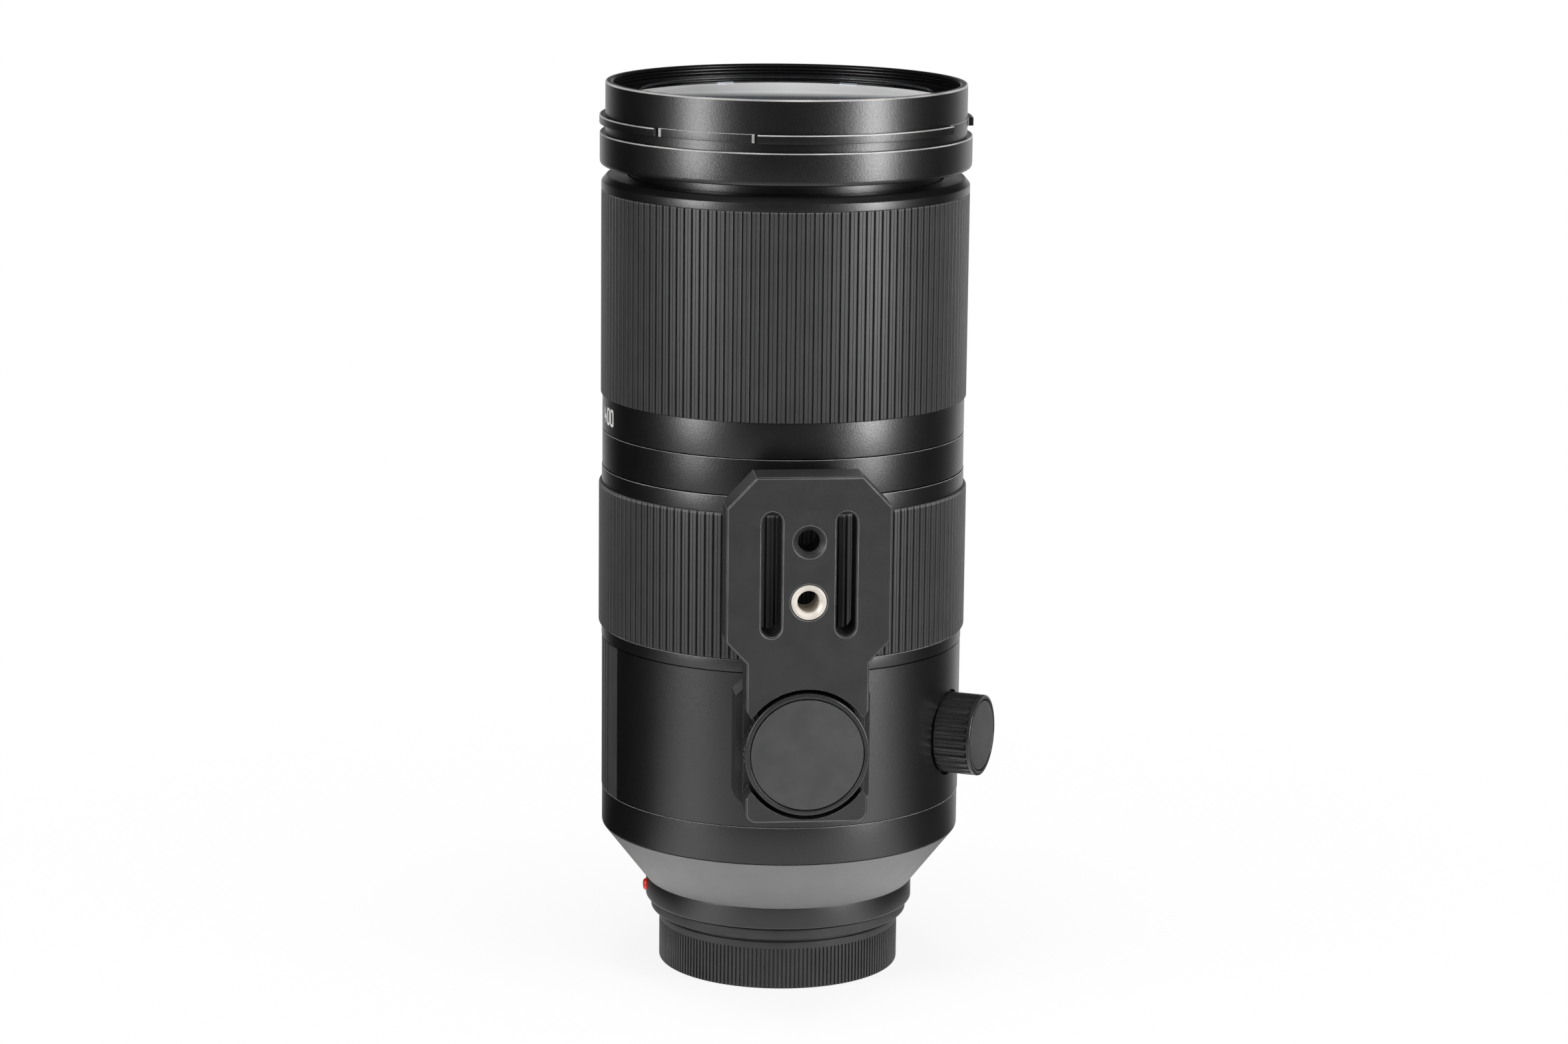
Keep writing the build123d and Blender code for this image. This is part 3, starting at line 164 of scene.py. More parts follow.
def finish(name, tint, roughness, metallic=0.0, ior=1.5, grain_size=0.0004, grain_depth=0.00001,
           mottle=0.12, mottle_size=0.006, coat=0.0, stretch=(1, 1, 1)):
    """Make a grained material: mottle shifts its tint, and the grain roughens and dents it."""
    made = bpy.data.materials.new(name)
    made.use_nodes = True
    tree = made.node_tree
    shader = tree.nodes["Principled BSDF"]
    shader.inputs["Metallic"].default_value = metallic
    shader.inputs["IOR"].default_value = ior
    shader.inputs["Coat Weight"].default_value = coat
    shader.inputs["Coat Roughness"].default_value = coat_roughness
    low = [channel * (1 - mottle) for channel in tint]
    high = [channel * (1 + mottle) for channel in tint]
    cloud = ramp(tree, grain(tree, mottle_size), (cloud_low, low), (cloud_high, high))
    tree.links.new(cloud, shader.inputs["Base Color"])
    fine = grain(tree, grain_size, stretch=stretch)
    rough = spread(tree, fine, roughness * (1 - rough_swing), roughness * (1 + rough_swing))
    tree.links.new(rough, shader.inputs["Roughness"])
    dent = node(tree, "ShaderNodeBump", Strength=1.0, Distance=grain_depth)
    tree.links.new(fine, dent.inputs["Height"])
    tree.links.new(dent.outputs["Normal"], shader.inputs["Normal"])
    finishes[name] = made
    return made


def dress(material, *names):
    """Give CAD nodes a finish by filling their material slot."""
    for name in names:
        slots = nodes[name].data.materials
        slots.clear()
        slots.append(finishes[material])


# %% [markdown]
# The barrel is aluminium, blasted, anodised black and left satin. Its middle looks almost black,
# with two soft upright highlights, so the base is very dark and the sheen does the work. The ring
# between the grips mirrors about a third less, so it has a lower index of refraction.

# %% Anodised metals
finish("barrel_black", (0.0045, 0.0045, 0.0048), 0.32, ior=1.9, grain_size=0.0003,
       grain_depth=0.00003)
finish("index_black", (0.0045, 0.0045, 0.0048), 0.32, ior=1.7, grain_size=0.0003,
       grain_depth=0.00003)
finish("foot_black", (0.027, 0.0272, 0.0275), 0.42, ior=1.7, grain_size=0.00035,
       grain_depth=0.00005)
# The cone's mid grey is painted light: it stands in for the white table that the black cone reflects.
finish("cone_painted_reflection", (0.155, 0.153, 0.152), 0.44, ior=2.1, grain_size=0.0003,
       grain_depth=0.00003, mottle=0.05)
finish("inner_black", (0.008, 0.008, 0.0085), 0.5, grain_size=0.0005, grain_depth=0.00002)
finish("knob_gloss", (0.026, 0.0262, 0.0265), 0.28, ior=1.6, grain_size=0.0004,
       grain_depth=0.000003, coat=0.3)
finish("inlay_satin", (0.062, 0.0625, 0.063), 0.46, ior=1.6, grain_size=0.00035,
       grain_depth=0.00005)
# The pale edge finish is a painted highlight: the thin bright lines that eased edges catch.
finish("painted_edge_highlight", (0.42, 0.415, 0.41), 0.4, ior=1.9, grain_size=0.0004, mottle=0.3,
       mottle_size=0.012)
dress("barrel_black", "front_tube", "collar_ring")
dress("foot_black", "foot_plate")
dress("inner_black", "guide_tube", "cam_barrel", "variator_frame", "rear_cell", "element_spacer")

# %% [markdown]
# The foot is milled, and its outline shows as a thin bright line. A bevel modifier breaks each sharp
# edge of the CAD mesh and paints the new faces pale with the edge finish, a painted highlight. A weld
# comes first, because the mesh arrives with its faces apart, and a bevel needs them joined.

# %% Milled edges
foot = nodes["foot_plate"]
foot.data.materials.append(finishes["painted_edge_highlight"])
weld_step = foot.modifiers.new("weld", "WELD")
weld_step.merge_threshold = 0.000002
edge_break = foot.modifiers.new("edge_break", "BEVEL")
edge_break.width = 0.00014
edge_break.limit_method = "ANGLE"
edge_break.angle_limit = radians(35)
edge_break.material = 1
edge_break.harden_normals = True
print("broken edges of the foot:", round(edge_break.width / mm, 2), "mm")

# %% [markdown]
# The grips are moulded rubber: matt, a little paler than the metal and with a fine tooth. The rear
# cap and the inner mouldings are plastic, smoother than rubber and duller than metal.

# %% Rubber and plastics
finish("grip_rubber", (0.05, 0.0504, 0.051), 0.43, ior=1.55, grain_size=0.00016,
       grain_depth=0.00002, mottle=0.06)
# The pale rubber is a painted highlight on the eased top ends of the ribs.
finish("rubber_painted_highlight", (0.12, 0.121, 0.122), 0.5, grain_size=0.00016, grain_depth=0.00002)
finish("cap_plastic", (0.044, 0.0445, 0.045), 0.5, grain_size=0.0003, grain_depth=0.000012)
finish("inner_plastic", (0.02, 0.02, 0.021), 0.6, grain_size=0.0004, grain_depth=0.00001)
finish("board_green", (0.02, 0.14, 0.05), 0.35, grain_size=0.001, grain_depth=0.000005, coat=0.4)
finish("seal_felt", (0.015, 0.015, 0.015), 0.95, grain_size=0.0003, grain_depth=0.0002)
dress("grip_rubber", "collar_grip")
dress("inner_plastic", "rear_baffle", "contact_block", "rod_frame", "focus_carriage", "iris_case",
      "board_chips", "focus_sensor")
dress("board_green", "circuit_board")
dress("seal_felt", "front_seal")

# %% [markdown]
# Bare metals are few: the steel flange, its screws and rods, the brass rollers, gold pins, copper
# coils and the nickel bush of the tripod thread. They are metallic, so the tint is their reflection.

# %% Bare metals
finish("turned_steel", (0.62, 0.62, 0.63), 0.22, metallic=1, grain_size=0.0003,
       grain_depth=0.000004, stretch=(1, 1, 12))
finish("plated_steel", (0.45, 0.45, 0.46), 0.3, metallic=1, grain_depth=0.000004)
finish("blued_steel", (0.06, 0.06, 0.065), 0.4, metallic=1, grain_depth=0.000004)
finish("roller_brass", (0.75, 0.58, 0.28), 0.25, metallic=1, grain_depth=0.000004)
finish("contact_gold", (0.95, 0.72, 0.33), 0.2, metallic=1, grain_depth=0.000002)
finish("coil_copper", (0.75, 0.36, 0.2), 0.35, metallic=1, grain_size=0.0002,
       grain_depth=0.00002, stretch=(1, 1, 8))
finish("bush_nickel", (0.82, 0.76, 0.69), 0.36, metallic=0.2, grain_size=0.0002,
       grain_depth=0.000004)
dress("turned_steel", "bayonet_flange", "focus_rods", "drive_key", "code_ring")
dress("plated_steel", "flange_screws", "motor_magnets", "clamp_screw", "lock_screw")
dress("blued_steel", "iris_blades")
dress("roller_brass", "variator_rollers", "cam_rollers", "brake_shoe")
dress("contact_gold", "contact_pins")
dress("coil_copper", "motor_coils")

# %% [markdown]
# The alignment dome is red enamel under a clear gloss, and the numbers are filled with white. The
# lens elements are coated glass: clear, and mirror-like only where the eye looks along them. The
# front glass alone is tinted dark grey, a painted shade that dims what shows through it.

# %% Enamel and glass
finish("index_red", (0.95, 0.03, 0.022), 0.25, grain_depth=0.000002, coat=0.8)
finish("number_white", (0.82, 0.82, 0.8), 0.5, grain_depth=0.000004, mottle=0.03)


def coated_glass(name, tint, ior):
    """Make a clear glass whose surface tint wanders a little, as a coating does."""
    made = finish(name, tint, 0.02, ior=ior, grain_size=0.002, grain_depth=0.0000001,
                  mottle=0.03, mottle_size=0.03)
    shader = made.node_tree.nodes["Principled BSDF"]
    shader.inputs["Transmission Weight"].default_value = 1.0
    return made


coated_glass("clear_glass", (0.86, 0.88, 0.9), 1.5)
# The front glass is tinted dark grey, a painted shade.
coated_glass("front_glass_painted_shade", (0.3, 0.33, 0.36), 1.55)
dress("index_red", "index_dot")
dress("clear_glass", "front_doublet", "variator_front_element", "variator_rear_element",
      "focus_element", "rear_element")
print("finishes:", len(finishes))

# %% [markdown]
# Nearly every piece of a lens is turned on a lathe, so nearly every mesh here is a profile swept
# round an axis. A turned edge is never perfectly sharp: it is broken by a fine curve, and that curve
# catches light as a thin bright line. So a profile is written as corners, each with its easing, and
# a corner whose curve is painted pale, a painted highlight, carries the word bright as well.

# %% Eased profiles
curve_steps = 5
edge_share = 0.48
bright = "bright"


def eased(*corners):
    """A closed profile of (radius, height, easing) corners, with the number of a bright corner."""
    points = []
    for index, (radius, height, easing, *mark) in enumerate(corners):
        corner = Vector((radius, height))
        before = Vector(corners[index - 1][:2]) - corner
        after = Vector(corners[(index + 1) % len(corners)][:2]) - corner
        start = corner + before.normalized() * min(easing, before.length * edge_share)
        end = corner + after.normalized() * min(easing, after.length * edge_share)
        shares = np.linspace(0, 1, curve_steps) if easing else [0.0]
        for share in shares:
            near = start.lerp(corner, share)
            far = corner.lerp(end, share)
            points.append((*near.lerp(far, share), index + 1 if mark else 0))
    return np.array(points)


# %% [markdown]
# Sweeping is done with numpy: one row of points for each corner of the profile and one column for
# each angle. A limit radius for each angle cuts the sweep back, and that makes ribs and flutes. The
# faces inside a bright corner are marked with a one, for the second material of the piece, which
# paints a highlight on them.

# %% Sweeping
smooth_turns = 288
around = np.linspace(0, 2 * pi, smooth_turns, endpoint=False)


def swept(profile, turns=around, limit=None, ring=True):
    """Sweep a profile through angles counted from the foot, cut back to the limit radii."""
    radii = np.repeat(profile[:, :1], len(turns), axis=1)
    if limit is not None:
        radii = np.minimum(radii, limit)
    heights = np.repeat(profile[:, 1:2], len(turns), axis=1)
    points = np.stack([radii * np.sin(turns), -radii * np.cos(turns), heights], axis=2)
    rows, columns = radii.shape
    row = np.arange(rows)[:, None]
    column = np.arange(columns if ring else columns - 1)[None, :]
    steps = ((0, 0), (1, 0), (1, 1), (0, 1))
    faces = np.stack([(row + down) % rows * columns + (column + across) % columns
                      for down, across in steps], axis=2).reshape(-1, 4).tolist()
    corner = profile[:, 2]
    highlight_rows = (corner > 0) & (corner == np.roll(corner, -1))
    marks = np.repeat(highlight_rows, column.size).astype(int).tolist()
    if not ring:
        faces += [list(range(end, rows * columns, columns)) for end in (0, columns - 1)]
        marks += [0, 0]
    return points.reshape(-1, 3), faces, marks


def arc(start, sweep):
    """The angles of a piece of a ring, in degrees from the foot, as an array in radians."""
    return np.radians(np.linspace(start, start + sweep, max(3, int(sweep))))


# %% [markdown]
# A piece may be several swept shells. They are joined into one mesh, its normals are turned
# outwards, and it is shaded smooth except at edges sharper than thirty degrees.

# %% Making a piece
crease = radians(30)
weld = 0.000001
upright = Matrix.Identity(4)


def facing(angle, distance, height):
    """The place of a knob: its axis points outwards at an angle from the foot, in millimetres."""
    turn = radians(angle)
    outwards = Vector((sin(turn), -cos(turn), 0))
    sideways = Vector((cos(turn), sin(turn), 0))
    turned = Matrix((sideways, Vector((0, 0, 1)), outwards)).transposed().to_4x4()
    spot = Vector((outwards.x * distance, outwards.y * distance, height)) * mm
    return Matrix.Translation(spot) @ turned


def make(name, material, slot, body, *shells, stands_for=(), place=upright, edge=None):
    """Join shells, in millimetres, into a piece that rides on a body."""
    data = bpy.data.meshes.new(name)
    mesh = bmesh.new()
    for points, faces, marks in shells:
        placed = [mesh.verts.new(place @ Vector(point)) for point in points * mm]
        for face, mark in zip(faces, marks):
            mesh.faces.new([placed[corner] for corner in face]).material_index = mark
    bmesh.ops.remove_doubles(mesh, verts=mesh.verts, dist=weld)
    bmesh.ops.recalc_face_normals(mesh, faces=mesh.faces)
    mesh.to_mesh(data)
    mesh.free()
    data.shade_smooth()
    data.set_sharp_from_angle(angle=crease)
    data.materials.append(finishes[material])
    if edge:
        data.materials.append(finishes[edge])
    made = link(bpy.data.objects.new(name, data))
    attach(made, body)
    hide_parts(*stands_for)
    print(name, len(data.polygons), "faces")
    return made


# %% [markdown]
# The fixed bands of the barrel: the ring above the cap, the cone, the ring in front of it, the narrow
# band at the collar and the wide one between the grips. They keep the CAD's sizes, read from its
# boxes, and gain the eased edges that make the joints between them show. On the three rings with a
# second material the eased top edge is painted pale, a painted highlight.

# %% Fixed bands
hair_ease = 0.08
fine_ease = 0.12
band_ease = 0.22
joint_ease = 0.35


def span(name):
    """The outer radius, base and top of a round CAD node, in millimetres."""
    low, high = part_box(name)
    return (high.x - low.x) / 2 / mm, low.z / mm, high.z / mm


neck_radius = 38.05
guide_radius = 40.95
shell_wall = 1.8
for band, bore, coating in (("spacer_ring", neck_radius, "barrel_black"),
                            ("index_ring", guide_radius, "index_black")):
    outer, base, top = span(band)
    make(f"{band}_turned", coating, "black_aluminium", "barrel",
         swept(eased((bore, base, 0), (outer, base, band_ease), (outer, top, hair_ease, bright),
                     (bore, top, 0))),
         stands_for=[band], edge="painted_edge_highlight")

outer, base, top = span("rear_ring")
make("rear_ring_turned", "barrel_black", "black_aluminium", "barrel",
     swept(eased((outer - shell_wall, base, 0), (outer, base, fine_ease),
                 (outer, top, hair_ease, bright), (neck_radius, top, 0),
                 (neck_radius, top - shell_wall, 0), (outer - shell_wall, top - shell_wall, 0))),
     stands_for=["rear_ring"], edge="painted_edge_highlight")

# %% [markdown]
# The cone and the mount ring under it. The ring's lower edge is eased more, because a hand meets it
# each time the lens is changed.

# %% Cone and mount ring
mount_bore = 24.25
flange_recess = 30.75
flange_top = 17.4
spigot_outer = 36.25
spigot_wall = 1.5
spigot_length = 4.0
joint_line = 0.2
mount_radius, mount_base, mount_top = span("mount_ring")
cone_radius, cone_base, spigot_top = span("rear_cone")
cone_top = spigot_top - spigot_length
make("mount_ring_turned", "barrel_black", "black_aluminium", "barrel",
     swept(eased((flange_recess, mount_base, 0), (mount_radius, mount_base, joint_ease),
                 (mount_radius, mount_top, fine_ease), (mount_bore, mount_top, 0),
                 (mount_bore, flange_top, 0), (flange_recess, flange_top, 0))),
     stands_for=["mount_ring"])
# The cone is painted mid grey, a painted reflection of the white table.
make("rear_cone_turned", "cone_painted_reflection", "black_aluminium", "barrel",
     swept(eased((mount_bore, cone_base, 0), (mount_radius, cone_base, fine_ease),
                 (cone_radius, cone_top - joint_line, band_ease),
                 (spigot_outer, cone_top - joint_line, 0), (spigot_outer, spigot_top, 0),
                 (spigot_outer - spigot_wall, spigot_top, 0),
                 (spigot_outer - spigot_wall, cone_top - shell_wall, 0),
                 (mount_radius - shell_wall, cone_base + shell_wall, 0),
                 (mount_bore, cone_base + shell_wall, 0))),
     stands_for=["rear_cone"])

# %% [markdown]
# The rubber grips are moulded with 132 pairs of flat ribs: a deep groove between pairs, and a fine
# split in the middle of each. A station says how deep the rubber lies at a distance along the arc.

# %% Ribs
rib_pairs = 132
rib_stations = ((0.14, 0.55), (0.21, 0.1), (0.31, 0.0), (0.95, 0.0), (1.0, 0.14), (1.08, 0.14),
                (1.13, 0.0), (1.77, 0.0), (1.87, 0.1), (1.94, 0.55))


def ribs(stations, count, radius):
    """The angles of all stations of a ribbed ring, and the radius that it keeps at each."""
    arcs = np.array([along for along, depth in stations]) / radius
    depths = np.array([depth for along, depth in stations])
    turns = np.arange(count)[:, None] * 2 * pi / count + arcs[None, :]
    return turns.ravel(), radius - np.tile(depths, count)


def grip(name, replaced, body, seat, ease):
    """A ribbed rubber ring in the place of its CAD node."""
    outer, base, top = span(replaced)
    turns, limit = ribs(rib_stations, rib_pairs, outer)
    # The eased top edge of the ribs is painted pale, a painted highlight.
    ring = eased((seat, base, 0), (outer, base, ease), (outer, top, ease, bright), (seat, top, 0))
    make(name, "grip_rubber", "grip_rubber", body, swept(ring, turns, limit),
         stands_for=[replaced], edge="rubber_painted_highlight")


zoom_seat = 42.7
focus_seat = 42.9
grip("zoom_grip", "zoom_rubber", "zoom_ring", zoom_seat, 0.3)
grip("focus_grip", "focus_rubber", "focus_ring", focus_seat, 0.6)

# %% [markdown]
# The zoom ring's sleeve: the number band below its rubber, the seat that the rubber is stretched on,
# and the bevelled lip in front, which covers the mouth of the guide tube.

# %% Zoom sleeve
sleeve_bore = 41.2
barrel_radius = span("index_ring")[0]
lip_radius, sleeve_base, lip_top = span("zoom_sleeve")
rubber_base, rubber_top = span("zoom_rubber")[1:]
lip_bore = 37.4
lip_cover = 1.2
lip_flat = 1.87
lip_bevel = 1.3
make("zoom_sleeve_turned", "barrel_black", "black_aluminium", "zoom_ring",
     swept(eased((sleeve_bore, sleeve_base, 0), (barrel_radius, sleeve_base, band_ease),
                 (barrel_radius, rubber_base, band_ease), (zoom_seat, rubber_base, 0),
                 (zoom_seat, rubber_top, 0), (lip_radius, rubber_top, fine_ease),
                 (lip_radius, rubber_top + lip_flat, band_ease),
                 (lip_radius - lip_bevel, lip_top, band_ease), (lip_bore, lip_top, band_ease),
                 (lip_bore, lip_top - lip_cover, 0), (sleeve_bore, lip_top - lip_cover, 0))),
     stands_for=["zoom_sleeve"])

# %% [markdown]
# The focus ring's sleeve has a lip in front of the rubber, and inside it the recess of the code
# ring that the sensor reads.

# %% Focus sleeve
code_low, code_high = 97.7, 103.7
code_seat = 42.0
focus_lip_radius, focus_base, focus_top = span("focus_sleeve")
focus_rubber_top = span("focus_rubber")[2]
# The lip's top edge is painted pale, a painted highlight.
make("focus_sleeve_turned", "barrel_black", "black_aluminium", "focus_ring",
     swept(eased((sleeve_bore, focus_base, 0), (focus_seat, focus_base, 0),
                 (focus_seat, focus_rubber_top, 0), (focus_lip_radius, focus_rubber_top, fine_ease),
                 (focus_lip_radius, focus_top, hair_ease, bright), (sleeve_bore, focus_top, 0),
                 (sleeve_bore, code_high, 0), (code_seat, code_high, 0), (code_seat, code_low, 0),
                 (sleeve_bore, code_low, 0))),
     stands_for=["focus_sleeve"], edge="painted_edge_highlight")

# %% [markdown]
# The hood ring: a flared band at its foot, a plain collar for the hood, and in its bore the fine
# thread for filters. The CAD keeps the thread's crest as a plain wall, and here it gets its grooves.

# %% Hood ring
hood_radius, hood_base, rim_top = 44.0, span("hood_ring")[1], span("hood_ring")[2]
hood_bore = 35.35
tube_seat = 37.15
tube_lap = 2.8
flare_round = 1.2
flare_top = hood_base + 7.7
collar_radius = 42.7
rim_ease = 0.4
thread_crest = 40.9
thread_root = 41.3
thread_pitch = 0.75
thread_low = 210.7
relief_radius = 41.4
ledge_height = 210.3
ledge_radius = 40.35
name_seat = 209.3
thread_turns = [(radius, rim_top - rim_ease - thread_pitch * (step + shift), 0)
                for step in range(3)
                for radius, shift in ((thread_crest, 0.15), (thread_root, 0.5), (thread_crest, 0.85))]
# The flare's top edge and the rim are painted pale, a painted highlight.
hood_profile = eased(
    (tube_seat, hood_base + flare_round, 0), (hood_radius - 2 * flare_round, hood_base, 0.4),
    (hood_radius, hood_base, flare_round), (hood_radius, flare_top, 0.3, bright),
    (collar_radius, flare_top, 0.08), (collar_radius, rim_top, rim_ease, bright),
    (thread_crest + rim_ease, rim_top, fine_ease), (thread_crest, rim_top - rim_ease, 0),
    *thread_turns, (thread_crest, thread_low, 0), (relief_radius, thread_low, 0),
    (relief_radius, ledge_height, 0), (ledge_radius, ledge_height, fine_ease),
    (ledge_radius, name_seat, 0), (hood_bore, name_seat, 0), (hood_bore, hood_base + tube_lap, 0),
    (tube_seat, hood_base + tube_lap, 0))

# %% [markdown]
# Three long tabs on the collar catch the hood. Between them runs a low band of the same height,
# and next to the tabs its ends are stops painted pale all over, a painted highlight; the top edges
# of the tabs and the band are painted pale the same way. All are open sweeps with closed ends, sunk
# a little into the collar so that no gap shows.

# %% Hood tabs
tab_reach = 44.1
band_reach = collar_radius + 0.14
stop_reach = collar_radius + 0.3
tab_low, tab_high = hood_base + 9.8, hood_base + 11.8
sink = 0.1


def rail(reach, edge_ease, *arcs):
    """Pieces of a rail that stands out from the collar, each an arc (start, sweep) in degrees."""
    profile = eased((collar_radius - sink, tab_low, 0), (reach, tab_low, fine_ease),
                    (reach, tab_high, edge_ease, bright), (collar_radius - sink, tab_high, 0))
    return [swept(profile, arc(start, sweep), ring=False) for start, sweep in arcs]


tabs = rail(tab_reach, 0.28, (220.0, 90.3), (345.4, 70.1), (81.8, 89.2))
low_bands = rail(band_reach, 0.1, (311.9, 31.5), (57.0, 23.3), (172.5, 46.0))
make("hood_ring_turned", "barrel_black", "black_aluminium", "front_barrel",
     swept(hood_profile), *tabs, *low_bands, stands_for=["hood_ring"], edge="painted_edge_highlight")
make("hood_stops", "painted_edge_highlight", "black_aluminium", "front_barrel",
     *rail(stop_reach, fine_ease, (310.9, 1.0), (343.4, 0.8), (56.2, 0.8), (80.3, 0.8)))

# %% [markdown]
# Behind the thread lies a flat black ring that hides the edge of the glass, and inside it the
# front glass bulges almost to the rim. The CAD keeps that glass flatter, so that its filter bore is
# open; the dome is what throws back the pale room as a bright crescent.

# %% Name ring and front glass
name_bore = 35.4
name_step = 38.2
name_drop = 0.15
glass_radius = 35.2
dome_edge = 211.5
dome_rise = 0.6
dome_points = 24
glass_base = span("front_element")[1]
glass_hollow = 1.25
ledge_inner = 40.3
make("name_ring_turned", "barrel_black", "black_aluminium", "front_barrel",
     swept(eased((name_bore, name_seat, 0), (ledge_inner, name_seat, 0),
                 (ledge_inner, ledge_height, fine_ease), (name_step, ledge_height, fine_ease),
                 (name_step - name_drop, ledge_height - name_drop, 0),
                 (name_bore, ledge_height - name_drop, fine_ease))),
     stands_for=["name_ring"])
radii = np.linspace(0, glass_radius, dome_points)
bulge = 1 - (radii / glass_radius) ** 2
plain = np.zeros(dome_points)
front_face = np.stack([radii, dome_edge + dome_rise * bulge, plain], axis=1)
rear_face = np.stack([radii, glass_base + glass_hollow * bulge, plain], axis=1)
make("front_dome", "front_glass_painted_shade", "coated_glass", "front_barrel",
     swept(np.concatenate([rear_face, front_face[::-1]])), stands_for=["front_element"])

# %% [markdown]
# The rear cap: fine upright ribs for the fingers, a plain lip over them, a neck and a rim. Inside are
# the four tabs that hook over the lugs of the mount.

# %% Rear cap
cap_bore = 27.5
cap_radius = 29.0
cap_rim, cap_base, cap_top = span("rear_cap")
cap_ribs = 180
cap_stations = ((0.15, 0.35), (0.22, 0.05), (0.29, 0.0), (0.72, 0.0), (0.79, 0.05), (0.86, 0.35))
cap_ribs_top = 10.0
cap_lip_top = 11.6
cap_neck = 28.4
cap_rim_base = 12.8
cap_floor = 2.0
cap_tab_inner, cap_tab_base, cap_tab_top = 24.5, 12.1, 13.9
cap_tab_sweep = 36
cap_turns, cap_limit = ribs(cap_stations, cap_ribs, cap_radius)
cap_shells = [
    swept(eased((cap_bore, cap_base, 0), (cap_radius, cap_base, 0.4),
                (cap_radius, cap_ribs_top, 0.3), (cap_bore, cap_ribs_top, 0)), cap_turns, cap_limit),
    swept(eased((0, cap_base, 0), (cap_bore + sink, cap_base, 0), (cap_bore + sink, cap_floor, 0),
                (0, cap_floor, 0))),
    swept(eased((cap_bore, cap_ribs_top - sink, 0), (cap_radius, cap_ribs_top - sink, 0),
                (cap_radius, cap_lip_top, joint_ease), (cap_neck, cap_lip_top, fine_ease),
                (cap_neck, cap_rim_base, fine_ease), (cap_rim, cap_rim_base, joint_ease),
                (cap_rim, cap_top, joint_ease), (cap_bore, cap_top, 0))),
]
cap_tab = eased((cap_tab_inner, cap_tab_base, 0), (cap_bore + sink, cap_tab_base, 0),
                (cap_bore + sink, cap_tab_top, 0), (cap_tab_inner, cap_tab_top, 0))
cap_shells += [swept(cap_tab, arc(middle - cap_tab_sweep / 2, cap_tab_sweep), ring=False)
               for middle in (0, 90, 180, 270)]
make("rear_cap_moulded", "cap_plastic", "cap_plastic", "cap", *cap_shells,
     stands_for=["rear_cap"])

# %% [markdown]
# Two knobs: the coin-shaped one that holds the foot, and the small fluted one that locks the collar.
# Their flutes are circles sunk into the edge, worked out as a limit radius for each angle. A flute
# runs out in a round scoop below the rim, as it does where a ball-ended cutter lifts off.

# %% Flutes
flute_steps = 9
flute_share = 0.98
scoop = 0.9
scoop_steps = 5
recess_ease = 0.25
inlay_thickness = 0.9


def flutes(radius, count, flute, bite):
    """The angles and limit radii of a knob with circular flutes along its side."""
    centre = radius + flute - bite
    reach = np.arcsin(flute / centre) * flute_share
    local = np.linspace(-reach, reach, flute_steps)
    depth = centre * np.cos(local) - np.sqrt(flute ** 2 - (centre * np.sin(local)) ** 2)
    turns = np.arange(count)[:, None] * 2 * pi / count + local[None, :]
    return turns.ravel(), np.tile(np.minimum(depth, radius), count)


def knob(name, body, place, radius, length, rim, recess_radius, socket, flute):
    """A fluted knob with a round-edged rim, a recess for its inlay and a socket for its screw."""
    turns, limit = flutes(radius, *flute)
    socket_radius, socket_depth = socket
    scoops = [(radius, length - rim - above, 0) for above in np.linspace(scoop, 0, scoop_steps)]
    profile = eased((0, socket_depth, 0), (socket_radius, socket_depth, 0), (socket_radius, 0, 0),
                    (radius, 0, rim / 2), *scoops, (radius, length, rim),
                    (recess_radius, length, recess_ease),
                    (recess_radius, length - inlay_thickness, 0), (0, length - inlay_thickness, 0))
    reach = np.clip((length - rim - profile[:, 1:2]) / scoop, 0, 1)
    depth = np.sqrt(1 - (1 - reach) ** 2)
    make(name + "_fluted", "knob_gloss", "knob_metal", body,
         swept(profile, turns, radius - (radius - limit) * depth), stands_for=[name], place=place)


def inlay(name, body, place, radius, length):
    """A satin disc let into a knob of that length, with a hair line of space round it."""
    low = length - inlay_thickness
    profile = eased((0, low, 0), (radius, low, 0), (radius, length, fine_ease), (0, length, 0))
    make(name + "_disc", "inlay_satin", "inlay_metal", body, swept(profile),
         stands_for=[name], place=place)


# %% Knobs
foot_face = 59.0
clamp_sunk = 6.7
clamp_seat = facing(0, foot_face - clamp_sunk, 65.5)
clamp_length = 7.2
knob("clamp_knob", "clamp_knob", clamp_seat, 14.4, clamp_length, 0.95, 13.25, (3.05, 4.05),
     (60, 0.67, 0.45))
inlay("clamp_inlay", "clamp_knob", clamp_seat, 12.95, clamp_length)
lock_seat = facing(63.0, 42.45, 60.3)
lock_length = 9.2
knob("lock_knob", "lock_knob", lock_seat, 9.7, lock_length, 0.9, 8.6, (2.55, 5.05),
     (30, 0.75, 0.6))
inlay("lock_inlay", "lock_knob", lock_seat, 8.3, lock_length)

# %% [markdown]
# The bright bush in the foot takes a tripod screw of twenty turns to the inch. Its mouth is bevelled,
# and its bore gets the grooves of the thread.

# %% Thread bush
bush_radius = 4.05
bush_bore = 2.6
bush_root = 3.05
bush_length = 10.0
bush_mouth = 0.7
bush_pitch = 1.27
bush_turns = [(radius, bush_length - bush_mouth - bush_pitch * (step + shift), 0)
              for step in range(7)
              for radius, shift in ((bush_bore, 0.1), (bush_root, 0.5), (bush_bore, 0.9))]
make("thread_bush_turned", "bush_nickel", "bush_nickel", "tripod_collar",
     swept(eased((bush_bore, 0, 0), (bush_radius, 0, 0), (bush_radius, bush_length, 0.2),
                 (bush_bore + bush_mouth, bush_length, fine_ease),
                 (bush_bore, bush_length - bush_mouth, 0), *bush_turns)),
     stands_for=["thread_bush"], place=facing(0, foot_face - bush_length, 101.2))

# %% [markdown]
# The zoom scale is plain numbers, engraved and filled with white. Each digit is drawn as a few
# strokes on a small grid, and a stroke becomes a thin strip bent round the band.

